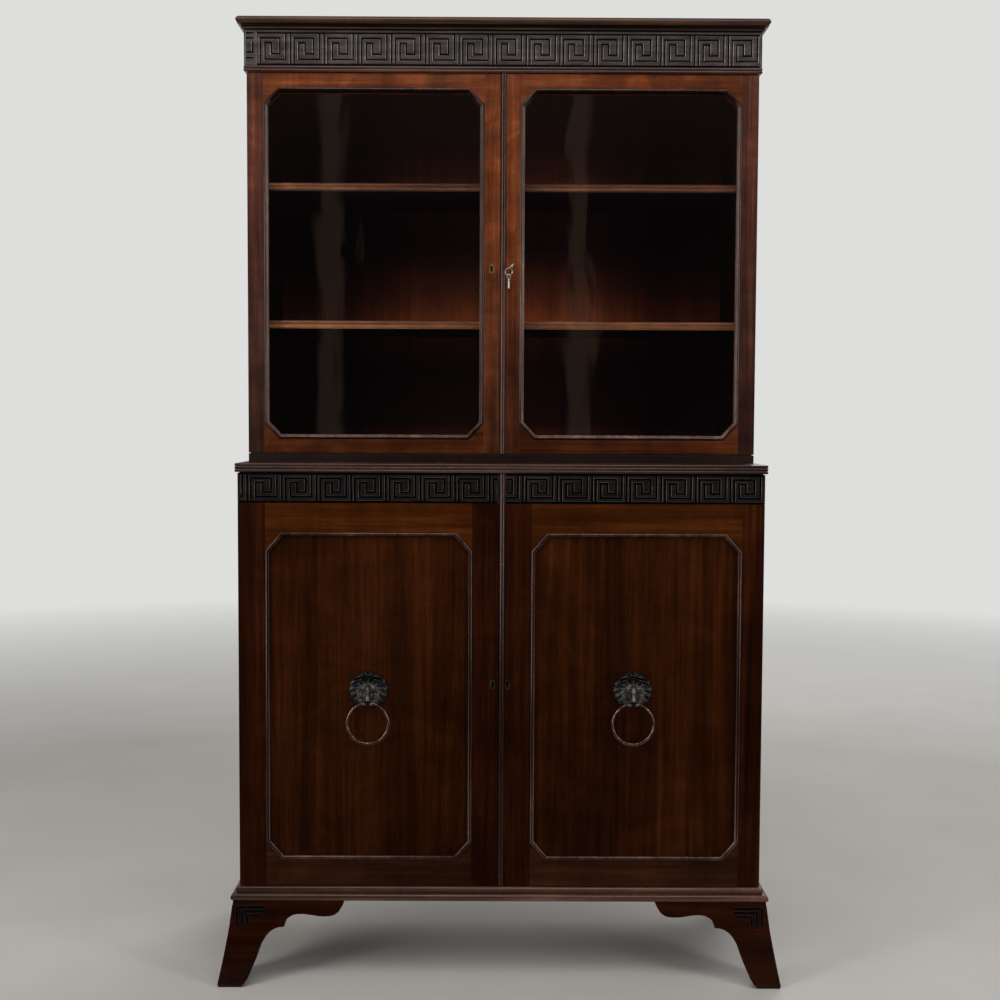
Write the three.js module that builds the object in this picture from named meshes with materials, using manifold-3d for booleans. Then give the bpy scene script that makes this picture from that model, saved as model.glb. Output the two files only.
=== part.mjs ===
// Bookcase with glass doors, in two sections. The upper case has a pair of glazed doors with
// canted corners, two shelves, and a cornice with a carved key frieze. It stands set back on a
// wider-edged lower cupboard with a pair of panelled doors, a carved key frieze on the doors,
// lion mask ring pulls, a reeded top and base moulding, and four splayed bracket feet.
// Millimetres. X is to the right, Y to the back and Z up. The front looks along -Y.
// Inside this file Y is zero at the faces of the lower doors; the last group centres the piece.

import * as THREE from 'three';
import { mergeVertices } from 'three/addons/utils/BufferGeometryUtils.js';
import Module from 'manifold-3d';

const wasm = await Module();
wasm.setup();

// Driving dimensions of the whole
const caseWidth = 1044;
const lowerDepth = 470;
const upperSetback = 130;
const footHeight = 168;
const baseMouldingHeight = 26;
const lowerCaseHeight = 832.5;
const topBoardThickness = 17.5;
const upperBaseThickness = 16;
const upperCaseHeight = 859;
const corniceHeight = 26;

// Boards
const sideThickness = 22;
const backThickness = 12;
const bottomThickness = 18;
const shelfThickness = 16.5;
const shelfHousingDepth = 6;
const shelfSetback = 5.5;
const highShelfRise = 541.5;
const lowShelfRise = 259;
const lowerShelfRise = 410;
const lowerShelfSetback = 40;
const fit = 0.3;
const overrun = 6;

// Mouldings: how far each stands proud of the case, and its outline as shares
const topOverhang = 5;
const topReedCount = 3;
const topReedDepth = 2.2;
const baseOverhang = 13.4;
const baseRailWidth = 70;
const baseProfileShares = [
  [0.78, 0], [0.97, 0.1], [1, 0.26], [0.96, 0.42], [0.78, 0.52],
  [0.4, 0.55], [0.5, 0.64], [0.52, 0.78], [0.46, 0.92], [0.3, 1],
];
const corniceOverhang = 19;
const corniceProfileShares = [
  [0.34, 0], [0.37, 0.15], [0.42, 0.17], [0.55, 0.25], [0.79, 0.33], [0.84, 0.37],
  [0.95, 0.47], [1, 0.64], [0.97, 0.82], [0.9, 0.95], [0.8, 1],
];
const reedSteps = 4;

// Friezes carved with a running key
const corniceFriezeHeight = 83;
const corniceFriezeOverhang = 4.5;
const corniceBeadHeight = 12;
const corniceBeadDepth = 1.6;
const corniceBeadProud = 1;
const keyPitch = 68.5;
const keyGrooveWidth = 3.2;
const keyGrooveDepth = 2;
const corniceKeyHeight = 63;
const corniceKeyRise = 14;
const doorFriezeHeight = 59;
const doorFriezeThickness = 6;
const doorFriezeProud = 1;
const doorKeyHeight = 55;
const doorKeyRise = 2.5;
const keyPathShares = [
  [0.86, 1], [0.86, 0.16], [0.25, 0.16], [0.25, 0.65], [0.46, 0.65],
  [0.46, 0.34], [0.7, 0.34], [0.7, 0.81], [0.12, 0.81], [0.12, 0],
];

// Doors
const doorThickness = 22;
const doorGap = 0.6;
const doorReveal = 1.5;
const meetingX = -4;
const meetingGap = 1;
const astragalWidth = 10.5;
const astragalProud = 4.5;
const astragalSides = 5;

// Glazed doors
const glazedStile = 33;
const glazedMeetingStile = 32.5;
const glazedAstragalStile = 39.5;
const glazedRail = 29;
const glazedCantWidth = 31;
const glazedCantHeight = 33;
const glazingMouldingWidth = 9;
const glazingMouldingProud = 3;
const glazingFaceShares = [[0, 0], [0.25, 1], [0.55, 1], [1, -0.5]];
const glazingRebate = 11.3;
const glazingLip = 8;
const glassThickness = 3;

// Panelled doors
const panelOuterMargin = 54;
const panelMeetingMargin = 53;
const panelAstragalMargin = 63.5;
const panelRightMargin = 44;
const panelBottomMargin = 53;
const panelTopMargin = 59;
const panelCantWidth = 31;
const panelCantHeight = 36;
const panelBeadWidth = 6.8;
const panelBeadProud = 3.5;
const panelBeadFaceShares = [[0, 0.5], [0.28, 1], [0.68, 1], [1, 0.45]];
const panelRecess = 4;
const panelThickness = 9;
const panelLip = 12;

// Hinges
const hingeHeight = 64;
const hingeInset = 110;
const hingeRadius = 2.6;
const hingePinRadius = 1.2;
const hingeBoreRadius = 1.5;
const hingeLeafWidth = 18;
const hingeLeafThickness = 1.4;
const hingeMiddleHeight = 24;
const hingeSides = 12;

// Lock, key and keyholes
const keyholeRise = 382;
const keyInset = 22;
const dummyKeyholeInset = 17;
const keyholeRadius = 3.2;
const keyholeSlotWidth = 3;
const keyholeSlotDrop = 9.4;
const lowerKeyholeRise = 411.5;
const lowerLeftKeyholeInset = 11.7;
const lowerRightKeyholeInset = 17;
const keyholeDepth = 12;
const escutcheonWidth = 10.4;
const escutcheonHeight = 20.7;
const escutcheonThickness = 3;
const escutcheonProud = 0.5;
const escutcheonSides = 7;
const lockLength = 36;
const lockHeight = 60;
const lockDepth = 12.7;
const lockWall = 1.5;
const boltThrow = 6;
const boltThickness = 5;
const boltHeight = 14;
const boltBodyWidth = 3;
const boltHeadLength = 7.5;
const boltRise = 16.5;
const boltTailHeight = 4;
const boltTailLength = 22;
const keyShankRadius = 2.4;
const keyBitLength = 8;
const keyBitWidth = 7;
const keyBitThickness = 2;
const keyTipReach = 19.5;
const keyBowLength = 17.6;
const keyBowWidth = 14;
const keyBowWire = 3;
const keyBowThickness = 2.2;
const keyBowStandoff = 22;
const keyCollarRadius = 3.6;
const keyCollarLength = 1.6;
const keyTilt = Math.PI / 4;
const fobRingRadius = 7.2;
const fobRingWire = 1.6;
const fobHang = 4.3;
const fobLinkLength = 9;
const fobLength = 19.5;
const fobRadius = 2.6;
const fobSides = 10;
const fobProfileShares = [
  [0, 0], [0.55, 0], [1, 0.06], [0.75, 0.16], [0.8, 0.5], [0.75, 0.84], [1, 0.94], [0.55, 1], [0, 1],
];

// Lion mask ring pulls
const pullX = 264;
const maskRise = 396.5;
const maskHalfWidth = 42;
const maskHalfHeight = 37;
const maskPlateDepth = 9;
const maneLocks = 12;
const maneReachShare = 0.73;
const maneLockShare = 0.26;
const manePlateShare = 0.86;
const maskSlices = 8;
const maskStacks = 5;
const ringRadius = 41;
const ringWireTop = 1.9;
const ringWireBottom = 3.1;
const ringForward = 16;
const ringDrop = 23.5;
const ringChannelRadius = 3.2;
const ringMouthHalf = 8;
const ringSteps = 28;
const wireSides = 6;
const bowSteps = 16;

// Feet
const footTopOverhang = 12;
const footFrontSplay = 25;
const footSideSplay = 29;
const footSplayPower = 1.2;
const footThickness = 28;
const footFrontArm = 211;
const footSideArm = 176;
const footBackArm = 120;
const footProfileShares = [
  [0, 0.02], [0.24, 0.135], [0.42, 0.2], [0.58, 0.255], [0.635, 0.29], [0.67, 0.33], [0.696, 0.38],
  [0.703, 0.43], [0.756, 0.445], [0.8, 0.49], [0.81, 0.86], [0.84, 0.93], [0.89, 0.97], [1, 1],
];

// Levels and planes that follow from the sizes
const caseHalf = caseWidth / 2;
const innerHalf = caseHalf - sideThickness;
const levelCase = footHeight + baseMouldingHeight;
const levelTopBoard = levelCase + lowerCaseHeight;
const levelUpper = levelTopBoard + topBoardThickness;
const levelUpperCase = levelUpper + upperBaseThickness;
const levelCornice = levelUpperCase + upperCaseHeight;
const levelFrieze = levelCornice - corniceFriezeHeight;
const lowerCaseFront = doorThickness + doorGap;
const upperCaseFront = upperSetback + lowerCaseFront;
const backPlane = lowerDepth;
const backBoardFront = lowerDepth - backThickness;
const leftDoorEdge = meetingX - meetingGap / 2;
const rightDoorEdge = meetingX + meetingGap / 2;
const astragalEdge = rightDoorEdge + astragalWidth;
const upperDoor = { bottom: levelUpperCase + doorReveal, top: levelFrieze - doorReveal, front: upperSetback };
const lowerDoor = { bottom: levelCase + doorReveal, top: levelTopBoard - doorReveal, front: 0 };
const keyholeLevel = upperDoor.bottom + keyholeRise;
const lowerKeyholeLevel = lowerDoor.bottom + lowerKeyholeRise;

// Finishes
const wood = { color: 0x4a1f10, roughness: 0.38, metalness: 0 };
const redWood = { color: 0x64280f, roughness: 0.36, metalness: 0 };
const innerWood = { color: 0x3a1a0d, roughness: 0.6, metalness: 0 };
const blackWood = { color: 0x2b2724, roughness: 0.5, metalness: 0 };
const brass = { color: 0xb89a62, roughness: 0.35, metalness: 1 };
const bronze = { color: 0x4f4638, roughness: 0.45, metalness: 1 };
const glass = { color: 0xcfd6d2, roughness: 0.05, metalness: 0 };

// Solids and their booleans; each takes a geometry or a solid and gives a solid
function solidOf(shape) {
  if (shape instanceof wasm.Manifold) {
    return shape;
  }
  const bare = shape.clone();
  bare.deleteAttribute('normal');
  bare.deleteAttribute('uv');
  const merged = mergeVertices(bare, 1e-4);
  const mesh = new wasm.Mesh({
    numProp: 3,
    vertProperties: new Float32Array(merged.attributes.position.array),
    triVerts: new Uint32Array(merged.index.array),
  });
  return new wasm.Manifold(mesh);
}

function geometryOf(shape) {
  const mesh = solidOf(shape).getMesh();
  const geometry = new THREE.BufferGeometry();
  geometry.setAttribute('position', new THREE.BufferAttribute(mesh.vertProperties, 3));
  geometry.setIndex(new THREE.BufferAttribute(mesh.triVerts, 1));
  geometry.computeVertexNormals();
  return geometry;
}

function join(shapes) {
  return shapes.map(solidOf).reduce((sum, shape) => sum.add(shape));
}

function cut(shape, cutters) {
  return cutters.map(solidOf).reduce((rest, cutter) => rest.subtract(cutter), solidOf(shape));
}

function keep(shape, limit) {
  return solidOf(shape).intersect(solidOf(limit));
}

// Basic shapes, given by their limits
function box([x0, x1], [y0, y1], [z0, z1]) {
  const geometry = new THREE.BoxGeometry(Math.abs(x1 - x0), Math.abs(y1 - y0), Math.abs(z1 - z0));
  return geometry.translate((x0 + x1) / 2, (y0 + y1) / 2, (z0 + z1) / 2);
}

function plate(shape, yFront, yBack, curveSegments) {
  const depth = yBack - yFront;
  const geometry = new THREE.ExtrudeGeometry(shape, { depth, bevelEnabled: false, curveSegments });
  return geometry.rotateX(Math.PI / 2).translate(0, yBack, 0);
}

function post(radius, z0, z1, sides) {
  const geometry = new THREE.CylinderGeometry(radius, radius, z1 - z0, sides);
  return geometry.rotateX(Math.PI / 2).translate(0, 0, (z0 + z1) / 2);
}

function rod(radius, y0, y1, sides) {
  return new THREE.CylinderGeometry(radius, radius, y1 - y0, sides).translate(0, (y0 + y1) / 2, 0);
}

function lump([x, y, z], [halfX, halfY, halfZ]) {
  return new THREE.SphereGeometry(1, maskSlices, maskStacks).scale(halfX, halfY, halfZ).translate(x, y, z);
}

// A skin over a row of rings of points, closed with caps or round on itself
function loft(rings, round) {
  const count = rings[0].length;
  const index = [];
  const steps = round ? rings.length : rings.length - 1;
  for (let step = 0; step < steps; step += 1) {
    const here = step * count;
    const there = ((step + 1) % rings.length) * count;
    for (let i = 0; i < count; i += 1) {
      const j = (i + 1) % count;
      index.push(here + i, here + j, there + j);
      index.push(here + i, there + j, there + i);
    }
  }
  if (!round) {
    capFaces(rings[0]).forEach(([a, b, c]) => index.push(a, c, b));
    const last = (rings.length - 1) * count;
    capFaces(rings.at(-1)).forEach(([a, b, c]) => index.push(last + a, last + b, last + c));
  }
  const geometry = new THREE.BufferGeometry();
  geometry.setAttribute('position', new THREE.Float32BufferAttribute(rings.flat(2), 3));
  geometry.setIndex(signedVolume(rings.flat(), index) < 0 ? index.reverse() : index);
  geometry.computeVertexNormals();
  return geometry;
}

function capFaces(ring) {
  const outline = ring.map(([x, y]) => new THREE.Vector2(x, y));
  const faces = THREE.ShapeUtils.triangulateShape(outline, []);
  return THREE.ShapeUtils.isClockWise(outline) ? faces.map((face) => face.toReversed()) : faces;
}

function signedVolume(points, index) {
  let sum = 0;
  for (let i = 0; i < index.length; i += 3) {
    const [a, b, c] = index.slice(i, i + 3).map((k) => new THREE.Vector3(...points[k]));
    sum += a.dot(b.cross(c));
  }
  return sum;
}

// A slab whose front and side edges follow a profile of [offset, level] points
function mouldedSlab(profile, front) {
  return loft(profile.map(([offset, level]) => [
    [-caseHalf - offset, backPlane, level],
    [caseHalf + offset, backPlane, level],
    [caseHalf + offset, front - offset, level],
    [-caseHalf - offset, front - offset, level],
  ]), false);
}

function scaledProfile(shares, overhang, bottom, height) {
  return shares.map(([out, up]) => [out * overhang, bottom + up * height]);
}

function reedProfile(count, overhang, depth, bottom, height) {
  const points = [];
  for (let i = 0; i <= count * reedSteps; i += 1) {
    const share = (i % reedSteps) / reedSteps;
    const level = bottom + (height * i) / (count * reedSteps);
    points.push([overhang - depth * (1 - Math.sin(Math.PI * share)), level]);
  }
  return points;
}

// A rectangle with canted corners, drawn in by an inset all round
function cantedPoints(area, inset) {
  const spread = Math.hypot(1 / area.cantX, 1 / area.cantZ) * inset;
  const cantX = area.cantX * (1 + spread - inset / area.cantZ) - inset;
  const cantZ = area.cantZ * (1 + spread - inset / area.cantX) - inset;
  const [x0, x1] = [area.x0 + inset, area.x1 - inset];
  const [z0, z1] = [area.z0 + inset, area.z1 - inset];
  return [
    [x0 + cantX, z0], [x1 - cantX, z0], [x1, z0 + cantZ], [x1, z1 - cantZ],
    [x1 - cantX, z1], [x0 + cantX, z1], [x0, z1 - cantZ], [x0, z0 + cantZ],
  ];
}

function cantedPlate(area, inset, yFront, yBack) {
  const shape = new THREE.Shape(cantedPoints(area, inset).map(([x, z]) => new THREE.Vector2(x, z)));
  return plate(shape, yFront, yBack);
}

function cantedRing(area, section) {
  const rings = section.map(([inset, y]) => cantedPoints(area, inset).map(([x, z]) => [x, y, z]));
  return loft(rings, true);
}

// The running key: cutters for units laid out from a start along a band
// place([u0, u1], [v0, v1]) gives the box of a groove, u along the band and v up it
function keyUnitCutters(start, bottom, height, place) {
  const half = keyGrooveWidth / 2;
  const spot = ([u, v]) => [start + u * keyPitch, bottom + v * height];
  const cutters = [place([start - half, start + half], [bottom, bottom + height])];
  for (let i = 1; i < keyPathShares.length; i += 1) {
    const [u0, v0] = spot(keyPathShares[i - 1]);
    const [u1, v1] = spot(keyPathShares[i]);
    const spanU = [Math.min(u0, u1) - half, Math.max(u0, u1) + half];
    const lowest = Math.max(Math.min(v0, v1) - half, bottom);
    const highest = Math.min(Math.max(v0, v1) + half, bottom + height);
    cutters.push(place(spanU, [lowest, highest]));
  }
  return cutters;
}

function keyBandCutters([start, end], first, bottom, height, place) {
  const half = keyGrooveWidth / 2;
  const cutters = [];
  for (let unit = first; unit < end; unit += keyPitch) {
    cutters.push(...keyUnitCutters(unit, bottom, height, place));
  }
  cutters.push(place([start - overrun, end + overrun], [bottom - half, bottom + half]));
  cutters.push(place([start - overrun, end + overrun], [bottom + height - half, bottom + height + half]));
  const limit = place([start, end], [bottom - half, bottom + height + half]);
  return keep(join(cutters), limit);
}

// Cornice and upper case
function corniceMoulding() {
  const profile = scaledProfile(corniceProfileShares, corniceOverhang, levelCornice, corniceHeight);
  return mouldedSlab(profile, upperSetback);
}

function corniceFrieze() {
  const beadOverhang = corniceFriezeOverhang + corniceBeadProud;
  const bead = reedProfile(2, beadOverhang, corniceBeadDepth, levelFrieze, corniceBeadHeight);
  const faceBottom = levelFrieze + corniceBeadHeight + fit;
  const face = [faceBottom, levelCornice].map((level) => [corniceFriezeOverhang, level]);
  const outer = mouldedSlab([...bead, ...face], upperSetback);
  const hollow = box(
    [-caseHalf - fit, caseHalf + fit],
    [upperCaseFront - fit, backPlane + overrun],
    [levelFrieze - overrun, levelCornice + overrun],
  );
  const faceHalf = caseHalf + corniceFriezeOverhang;
  const faceFront = upperSetback - corniceFriezeOverhang;
  const keyBottom = levelFrieze + corniceKeyRise;
  const frontPlace = (u, v) => box(u, [faceFront - overrun, faceFront + keyGrooveDepth], v);
  const sidePlace = (side) => (u, v) => box(
    [side * (faceHalf - keyGrooveDepth), side * (faceHalf + overrun)],
    u,
    v,
  );
  const frontUnits = Math.floor((2 * faceHalf) / keyPitch);
  const frontFirst = faceHalf - (frontUnits + 1) * keyPitch;
  const frontSpan = [-faceHalf + keyGrooveWidth, faceHalf - keyGrooveWidth];
  const sideSpan = [faceFront + keyGrooveWidth, backPlane - keyGrooveWidth];
  return cut(outer, [
    hollow,
    keyBandCutters(frontSpan, frontFirst, keyBottom, corniceKeyHeight, frontPlace),
    keyBandCutters(sideSpan, faceFront, keyBottom, corniceKeyHeight, sidePlace(-1)),
    keyBandCutters(sideSpan, faceFront, keyBottom, corniceKeyHeight, sidePlace(1)),
  ]);
}

function hingePocket(side, front, level) {
  const axisY = front + doorThickness + doorGap / 2;
  const halfHeight = hingeHeight / 2 + fit;
  const leaf = hingeLeafThickness + 1.5 * fit;
  const barrel = hingeRadius + fit;
  return [
    box(
      [side * (caseHalf + overrun), side * (caseHalf - hingeLeafWidth - fit)],
      [axisY - leaf, axisY + leaf],
      [level - halfHeight, level + halfHeight],
    ),
    box(
      [side * (caseHalf + overrun), side * (caseHalf - barrel)],
      [axisY - barrel, axisY + barrel],
      [level - halfHeight, level + halfHeight],
    ),
  ];
}

function hingeLevels(door) {
  return [door.bottom + hingeInset, door.top - hingeInset];
}

function caseSide(side, door, levels, shelfLevels, shelfFront) {
  const front = door.front + doorThickness + doorGap;
  const board = box([side * innerHalf, side * caseHalf], [front, backPlane], levels);
  const housings = shelfLevels.map((level) => box(
    [side * (innerHalf - overrun), side * (innerHalf + shelfHousingDepth)],
    [shelfFront, backPlane + overrun],
    [level, level + shelfThickness + fit],
  ));
  const pockets = hingeLevels(door).flatMap((level) => hingePocket(side, door.front, level));
  return cut(board, [...housings, ...pockets]);
}

function upperSide(side, shelfLevels, shelfFront) {
  return caseSide(side, upperDoor, [levelUpperCase, levelCornice], shelfLevels, shelfFront);
}

function lowerSide(side, shelfLevels, shelfFront) {
  return caseSide(side, lowerDoor, [levelCase, levelTopBoard], shelfLevels, shelfFront);
}

function shelf(level, front) {
  const half = innerHalf + shelfHousingDepth - fit;
  return box([-half, half], [front + fit, backBoardFront - fit], [level, level + shelfThickness]);
}

function upperBaseBoard() {
  return box([-caseHalf, caseHalf], [upperSetback, backPlane], [levelUpper, levelUpperCase]);
}

function backBoard(bottom, top) {
  return box([-innerHalf + fit, innerHalf - fit], [backBoardFront, backPlane], [bottom, top]);
}

// Lower case
function topBoard() {
  const profile = reedProfile(topReedCount, topOverhang, topReedDepth, levelTopBoard, topBoardThickness);
  return mouldedSlab(profile, 0);
}

function bottomBoard() {
  return box(
    [-innerHalf + fit, innerHalf - fit],
    [lowerCaseFront, backBoardFront - fit],
    [levelCase, levelCase + bottomThickness],
  );
}

function baseMoulding() {
  const slab = mouldedSlab(scaledProfile(baseProfileShares, baseOverhang, footHeight, baseMouldingHeight), 0);
  const hollow = box(
    [-caseHalf + baseRailWidth, caseHalf - baseRailWidth],
    [baseRailWidth, backPlane - baseRailWidth],
    [footHeight - overrun, levelCase + overrun],
  );
  return cut(slab, [hollow]);
}

// A splayed bracket foot: an angle section whose arms shorten down a curved profile
function footSplayed(splay, up) {
  return footTopOverhang + splay * (1 - up) ** footSplayPower;
}

function footRing(side, atBack, up, armShare) {
  const sign = atBack ? -1 : 1;
  const outX = footSplayed(footSideSplay, up);
  const outY = footSplayed(footFrontSplay, up);
  const leastX = footThickness - outX + footTopOverhang;
  const leastY = footThickness - outY + footTopOverhang;
  const armX = Math.max(armShare * (atBack ? footBackArm : footFrontArm), leastX);
  const armY = Math.max(armShare * footSideArm, atBack ? footThickness + footTopOverhang : leastY);
  const x0 = side * (caseHalf + outX);
  const y0 = atBack ? backPlane : -outY;
  const xEnd = side * (caseHalf - armX);
  const yEnd = atBack ? backPlane - armY : armY;
  const xIn = x0 - side * footThickness;
  const yIn = y0 + sign * footThickness;
  const outline = [[x0, y0], [xEnd, y0], [xEnd, yIn], [xIn, yIn], [xIn, yEnd], [x0, yEnd]];
  return outline.map(([x, y]) => [x, y, up * footHeight]);
}

function foot(side, atBack) {
  const rings = footProfileShares.map(([up, armShare]) => footRing(side, atBack, up, armShare));
  return loft(rings, false);
}

// Doors
function doorBlank(side, door) {
  const inner = side < 0 ? leftDoorEdge : rightDoorEdge;
  const depth = [door.front, door.front + doorThickness];
  const blank = box([side * caseHalf, inner], depth, [door.bottom, door.top]);
  const pockets = hingeLevels(door).flatMap((level) => hingePocket(side, door.front, level));
  return { blank, pockets };
}

function openingCutters(area, front, rebate, lip) {
  return [
    cantedPlate(area, 0, front - overrun, front + rebate),
    cantedPlate(area, lip, front - overrun, front + doorThickness + overrun),
  ];
}

function keyholeCutters(x, level, front, depth) {
  const hole = rod(keyholeRadius, front - overrun, front + depth, hingeSides).translate(x, 0, level);
  const slot = box(
    [x - keyholeSlotWidth / 2, x + keyholeSlotWidth / 2],
    [front - overrun, front + depth],
    [level - keyholeSlotDrop, level],
  );
  return [hole, slot];
}

function glazedArea(side) {
  const left = { x0: -caseHalf + glazedStile, x1: leftDoorEdge - glazedMeetingStile };
  const right = { x0: rightDoorEdge + glazedAstragalStile, x1: caseHalf - glazedStile };
  return {
    ...(side < 0 ? left : right),
    z0: upperDoor.bottom + glazedRail,
    z1: upperDoor.top - glazedRail,
    cantX: glazedCantWidth,
    cantZ: glazedCantHeight,
  };
}

function glazedFrame(side) {
  const { blank, pockets } = doorBlank(side, upperDoor);
  const opening = openingCutters(glazedArea(side), upperDoor.front, glazingRebate, glazingLip);
  const furniture = side < 0 ? [strikeSlot(), escutcheonRecess(), ...dummyKeyhole()] : lockCutters();
  return cut(blank, [...opening, ...pockets, ...furniture]);
}

// Section of a door moulding: insets from the opening's edge, with the levels of its face and back
function mouldingSection(faceShares, width, proud, front, back) {
  const face = faceShares.map(([across, out]) => [fit + across * width, front - out * proud]);
  return [[fit, back], ...face, [fit + width, back]];
}

function glazingMoulding(side) {
  const { front } = upperDoor;
  const back = front + glazingRebate - glassThickness - 2 * fit;
  const section = mouldingSection(glazingFaceShares, glazingMouldingWidth, glazingMouldingProud, front, back);
  return cantedRing(glazedArea(side), section);
}

function glassPane(side) {
  const back = upperDoor.front + glazingRebate - fit;
  return cantedPlate(glazedArea(side), fit, back - glassThickness, back);
}

function panelArea(side) {
  const left = { x0: -caseHalf + panelOuterMargin, x1: leftDoorEdge - panelMeetingMargin };
  const right = { x0: rightDoorEdge + panelAstragalMargin, x1: caseHalf - panelRightMargin };
  return {
    ...(side < 0 ? left : right),
    z0: lowerDoor.bottom + panelBottomMargin,
    z1: lowerDoor.top - doorFriezeHeight - panelTopMargin,
    cantX: panelCantWidth,
    cantZ: panelCantHeight,
  };
}

function friezeSpan(side) {
  return side < 0 ? [-caseHalf, leftDoorEdge] : [astragalEdge, caseHalf];
}

function panelledFrame(side) {
  const { blank, pockets } = doorBlank(side, lowerDoor);
  const rebate = panelRecess + panelThickness + fit;
  const opening = openingCutters(panelArea(side), lowerDoor.front, rebate, panelLip);
  const [x0, x1] = friezeSpan(side);
  const friezePocket = box(
    [x0 - overrun - (side < 0 ? 0 : astragalWidth), x1 + overrun],
    [lowerDoor.front - overrun, lowerDoor.front + doorFriezeThickness - doorFriezeProud + fit],
    [lowerDoor.top - doorFriezeHeight, lowerDoor.top + overrun],
  );
  const keyholeX = side < 0 ? leftDoorEdge - lowerLeftKeyholeInset : rightDoorEdge + lowerRightKeyholeInset;
  const keyhole = keyholeCutters(keyholeX, lowerKeyholeLevel, lowerDoor.front, keyholeDepth);
  return cut(blank, [...opening, ...pockets, friezePocket, ...keyhole]);
}

function panel(side) {
  const front = lowerDoor.front + panelRecess;
  return cantedPlate(panelArea(side), fit, front, front + panelThickness);
}

function panelBead(side) {
  const { front } = lowerDoor;
  const back = front + panelRecess - fit;
  const section = mouldingSection(panelBeadFaceShares, panelBeadWidth, panelBeadProud, front, back);
  return cantedRing(panelArea(side), section);
}

function doorFrieze(side) {
  const [x0, x1] = friezeSpan(side);
  const face = lowerDoor.front - doorFriezeProud;
  const bottom = lowerDoor.top - doorFriezeHeight;
  const start = side < 0 ? x0 : x0 + fit;
  const strip = box([start, x1], [face, face + doorFriezeThickness], [bottom + fit, lowerDoor.top]);
  const units = Math.floor((x1 - x0) / keyPitch);
  const margin = (x1 - x0 - units * keyPitch) / 2;
  const first = side < 0 ? x0 + margin - keyPitch : x1 - (units + 1) * keyPitch;
  const place = (u, v) => box(u, [face - overrun, face + keyGrooveDepth], v);
  const span = [start + keyGrooveWidth / 2, x1 - keyGrooveWidth / 2];
  return cut(strip, [keyBandCutters(span, first, bottom + doorKeyRise, doorKeyHeight, place)]);
}

// A half-round bead down the meeting edge of a right-hand door, let in over its frieze
function astragal(door, backAtTop, topBand) {
  const halfWidth = astragalWidth / 2 - fit / 2;
  const centre = rightDoorEdge + astragalWidth / 2;
  const arc = [];
  for (let i = 0; i <= astragalSides; i += 1) {
    const angle = Math.PI * (1 - i / astragalSides);
    arc.push([centre + halfWidth * Math.cos(angle), door.front - fit - astragalProud * Math.sin(angle)]);
  }
  const ring = (level, backY) => [...arc, [centre + halfWidth, backY], [centre - halfWidth, backY]]
    .map(([x, y]) => [x, y, level]);
  const plain = door.front - fit / 2;
  const main = loft([ring(door.bottom, plain), ring(door.top - topBand, plain)], false);
  if (topBand === 0) {
    return main;
  }
  const upper = loft([ring(door.top - topBand - overrun, plain), ring(door.top, plain)], false);
  const tongue = box(
    [centre - halfWidth, centre + halfWidth],
    [door.front - astragalProud / 2, backAtTop],
    [door.top - topBand + fit, door.top],
  );
  return join([main, upper, tongue]);
}

// Hinges, drawn about their own pin
function caseLeaf(side) {
  const middle = hingeMiddleHeight / 2;
  const half = hingeHeight / 2;
  const leaf = box([0, -side * hingeLeafWidth], [fit / 2, fit / 2 + hingeLeafThickness], [-half, half]);
  const clear = box(
    [-hingeRadius - fit, hingeRadius + fit],
    [-hingeRadius - fit, hingeRadius + fit],
    [-middle - fit, middle + fit],
  );
  const lowKnuckle = post(hingeRadius, -half, -middle - fit, hingeSides);
  const highKnuckle = post(hingeRadius, middle + fit, half, hingeSides);
  const pin = post(hingePinRadius, -half, half, hingeSides);
  return join([cut(leaf, [clear]), lowKnuckle, highKnuckle, pin]);
}

function doorLeaf(side) {
  const middle = hingeMiddleHeight / 2;
  const half = hingeHeight / 2;
  const leaf = box([0, -side * hingeLeafWidth], [-fit / 2 - hingeLeafThickness, -fit / 2], [-half, half]);
  const clearings = [[-half - fit, -middle], [middle, half + fit]].map((span) => box(
    [-hingeRadius - fit, hingeRadius + fit],
    [-hingeRadius - fit, hingeRadius + fit],
    span,
  ));
  const tube = post(hingeRadius, -middle, middle, hingeSides);
  const bore = post(hingeBoreRadius, -half, half, hingeSides);
  return cut(join([cut(leaf, clearings), tube]), [bore]);
}

// Lock on the back of the upper right door, its bolt and the keyholes
const lockX = rightDoorEdge + fit;
const lockBack = upperDoor.front + doorThickness - fit;
const lockFront = lockBack - lockDepth;
const keyX = rightDoorEdge + keyInset;
const boltTip = lockX + fit;
const boltFront = lockFront + lockWall + fit;
const boltClear = [boltFront - fit, boltFront + boltThickness + fit];

function lockCutters() {
  const pocket = box(
    [rightDoorEdge - overrun, lockX + lockLength + fit],
    [lockFront - fit, upperDoor.front + doorThickness + overrun],
    [keyholeLevel - lockHeight / 2 - fit, keyholeLevel + lockHeight / 2 + fit],
  );
  return [pocket, ...keyholeCutters(keyX, keyholeLevel, upperDoor.front, doorThickness)];
}

function lockCase() {
  const half = lockHeight / 2;
  const outer = box(
    [lockX, lockX + lockLength],
    [lockFront, lockBack],
    [keyholeLevel - half, keyholeLevel + half],
  );
  const cavity = box(
    [lockX + lockWall, lockX + lockLength - lockWall],
    [lockFront + lockWall, lockBack - lockWall],
    [keyholeLevel - half + lockWall, keyholeLevel + half - lockWall],
  );
  const boltHalf = boltHeight / 2 + fit;
  const window = box(
    [lockX - overrun, lockX + 2 * lockWall],
    boltClear,
    [keyholeLevel - boltHalf, keyholeLevel + boltHalf],
  );
  const keyholeReach = lockFront + 2 * lockWall - upperDoor.front;
  const keyhole = keyholeCutters(keyX, keyholeLevel, upperDoor.front, keyholeReach);
  return cut(outer, [cavity, window, ...keyhole]);
}

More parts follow.
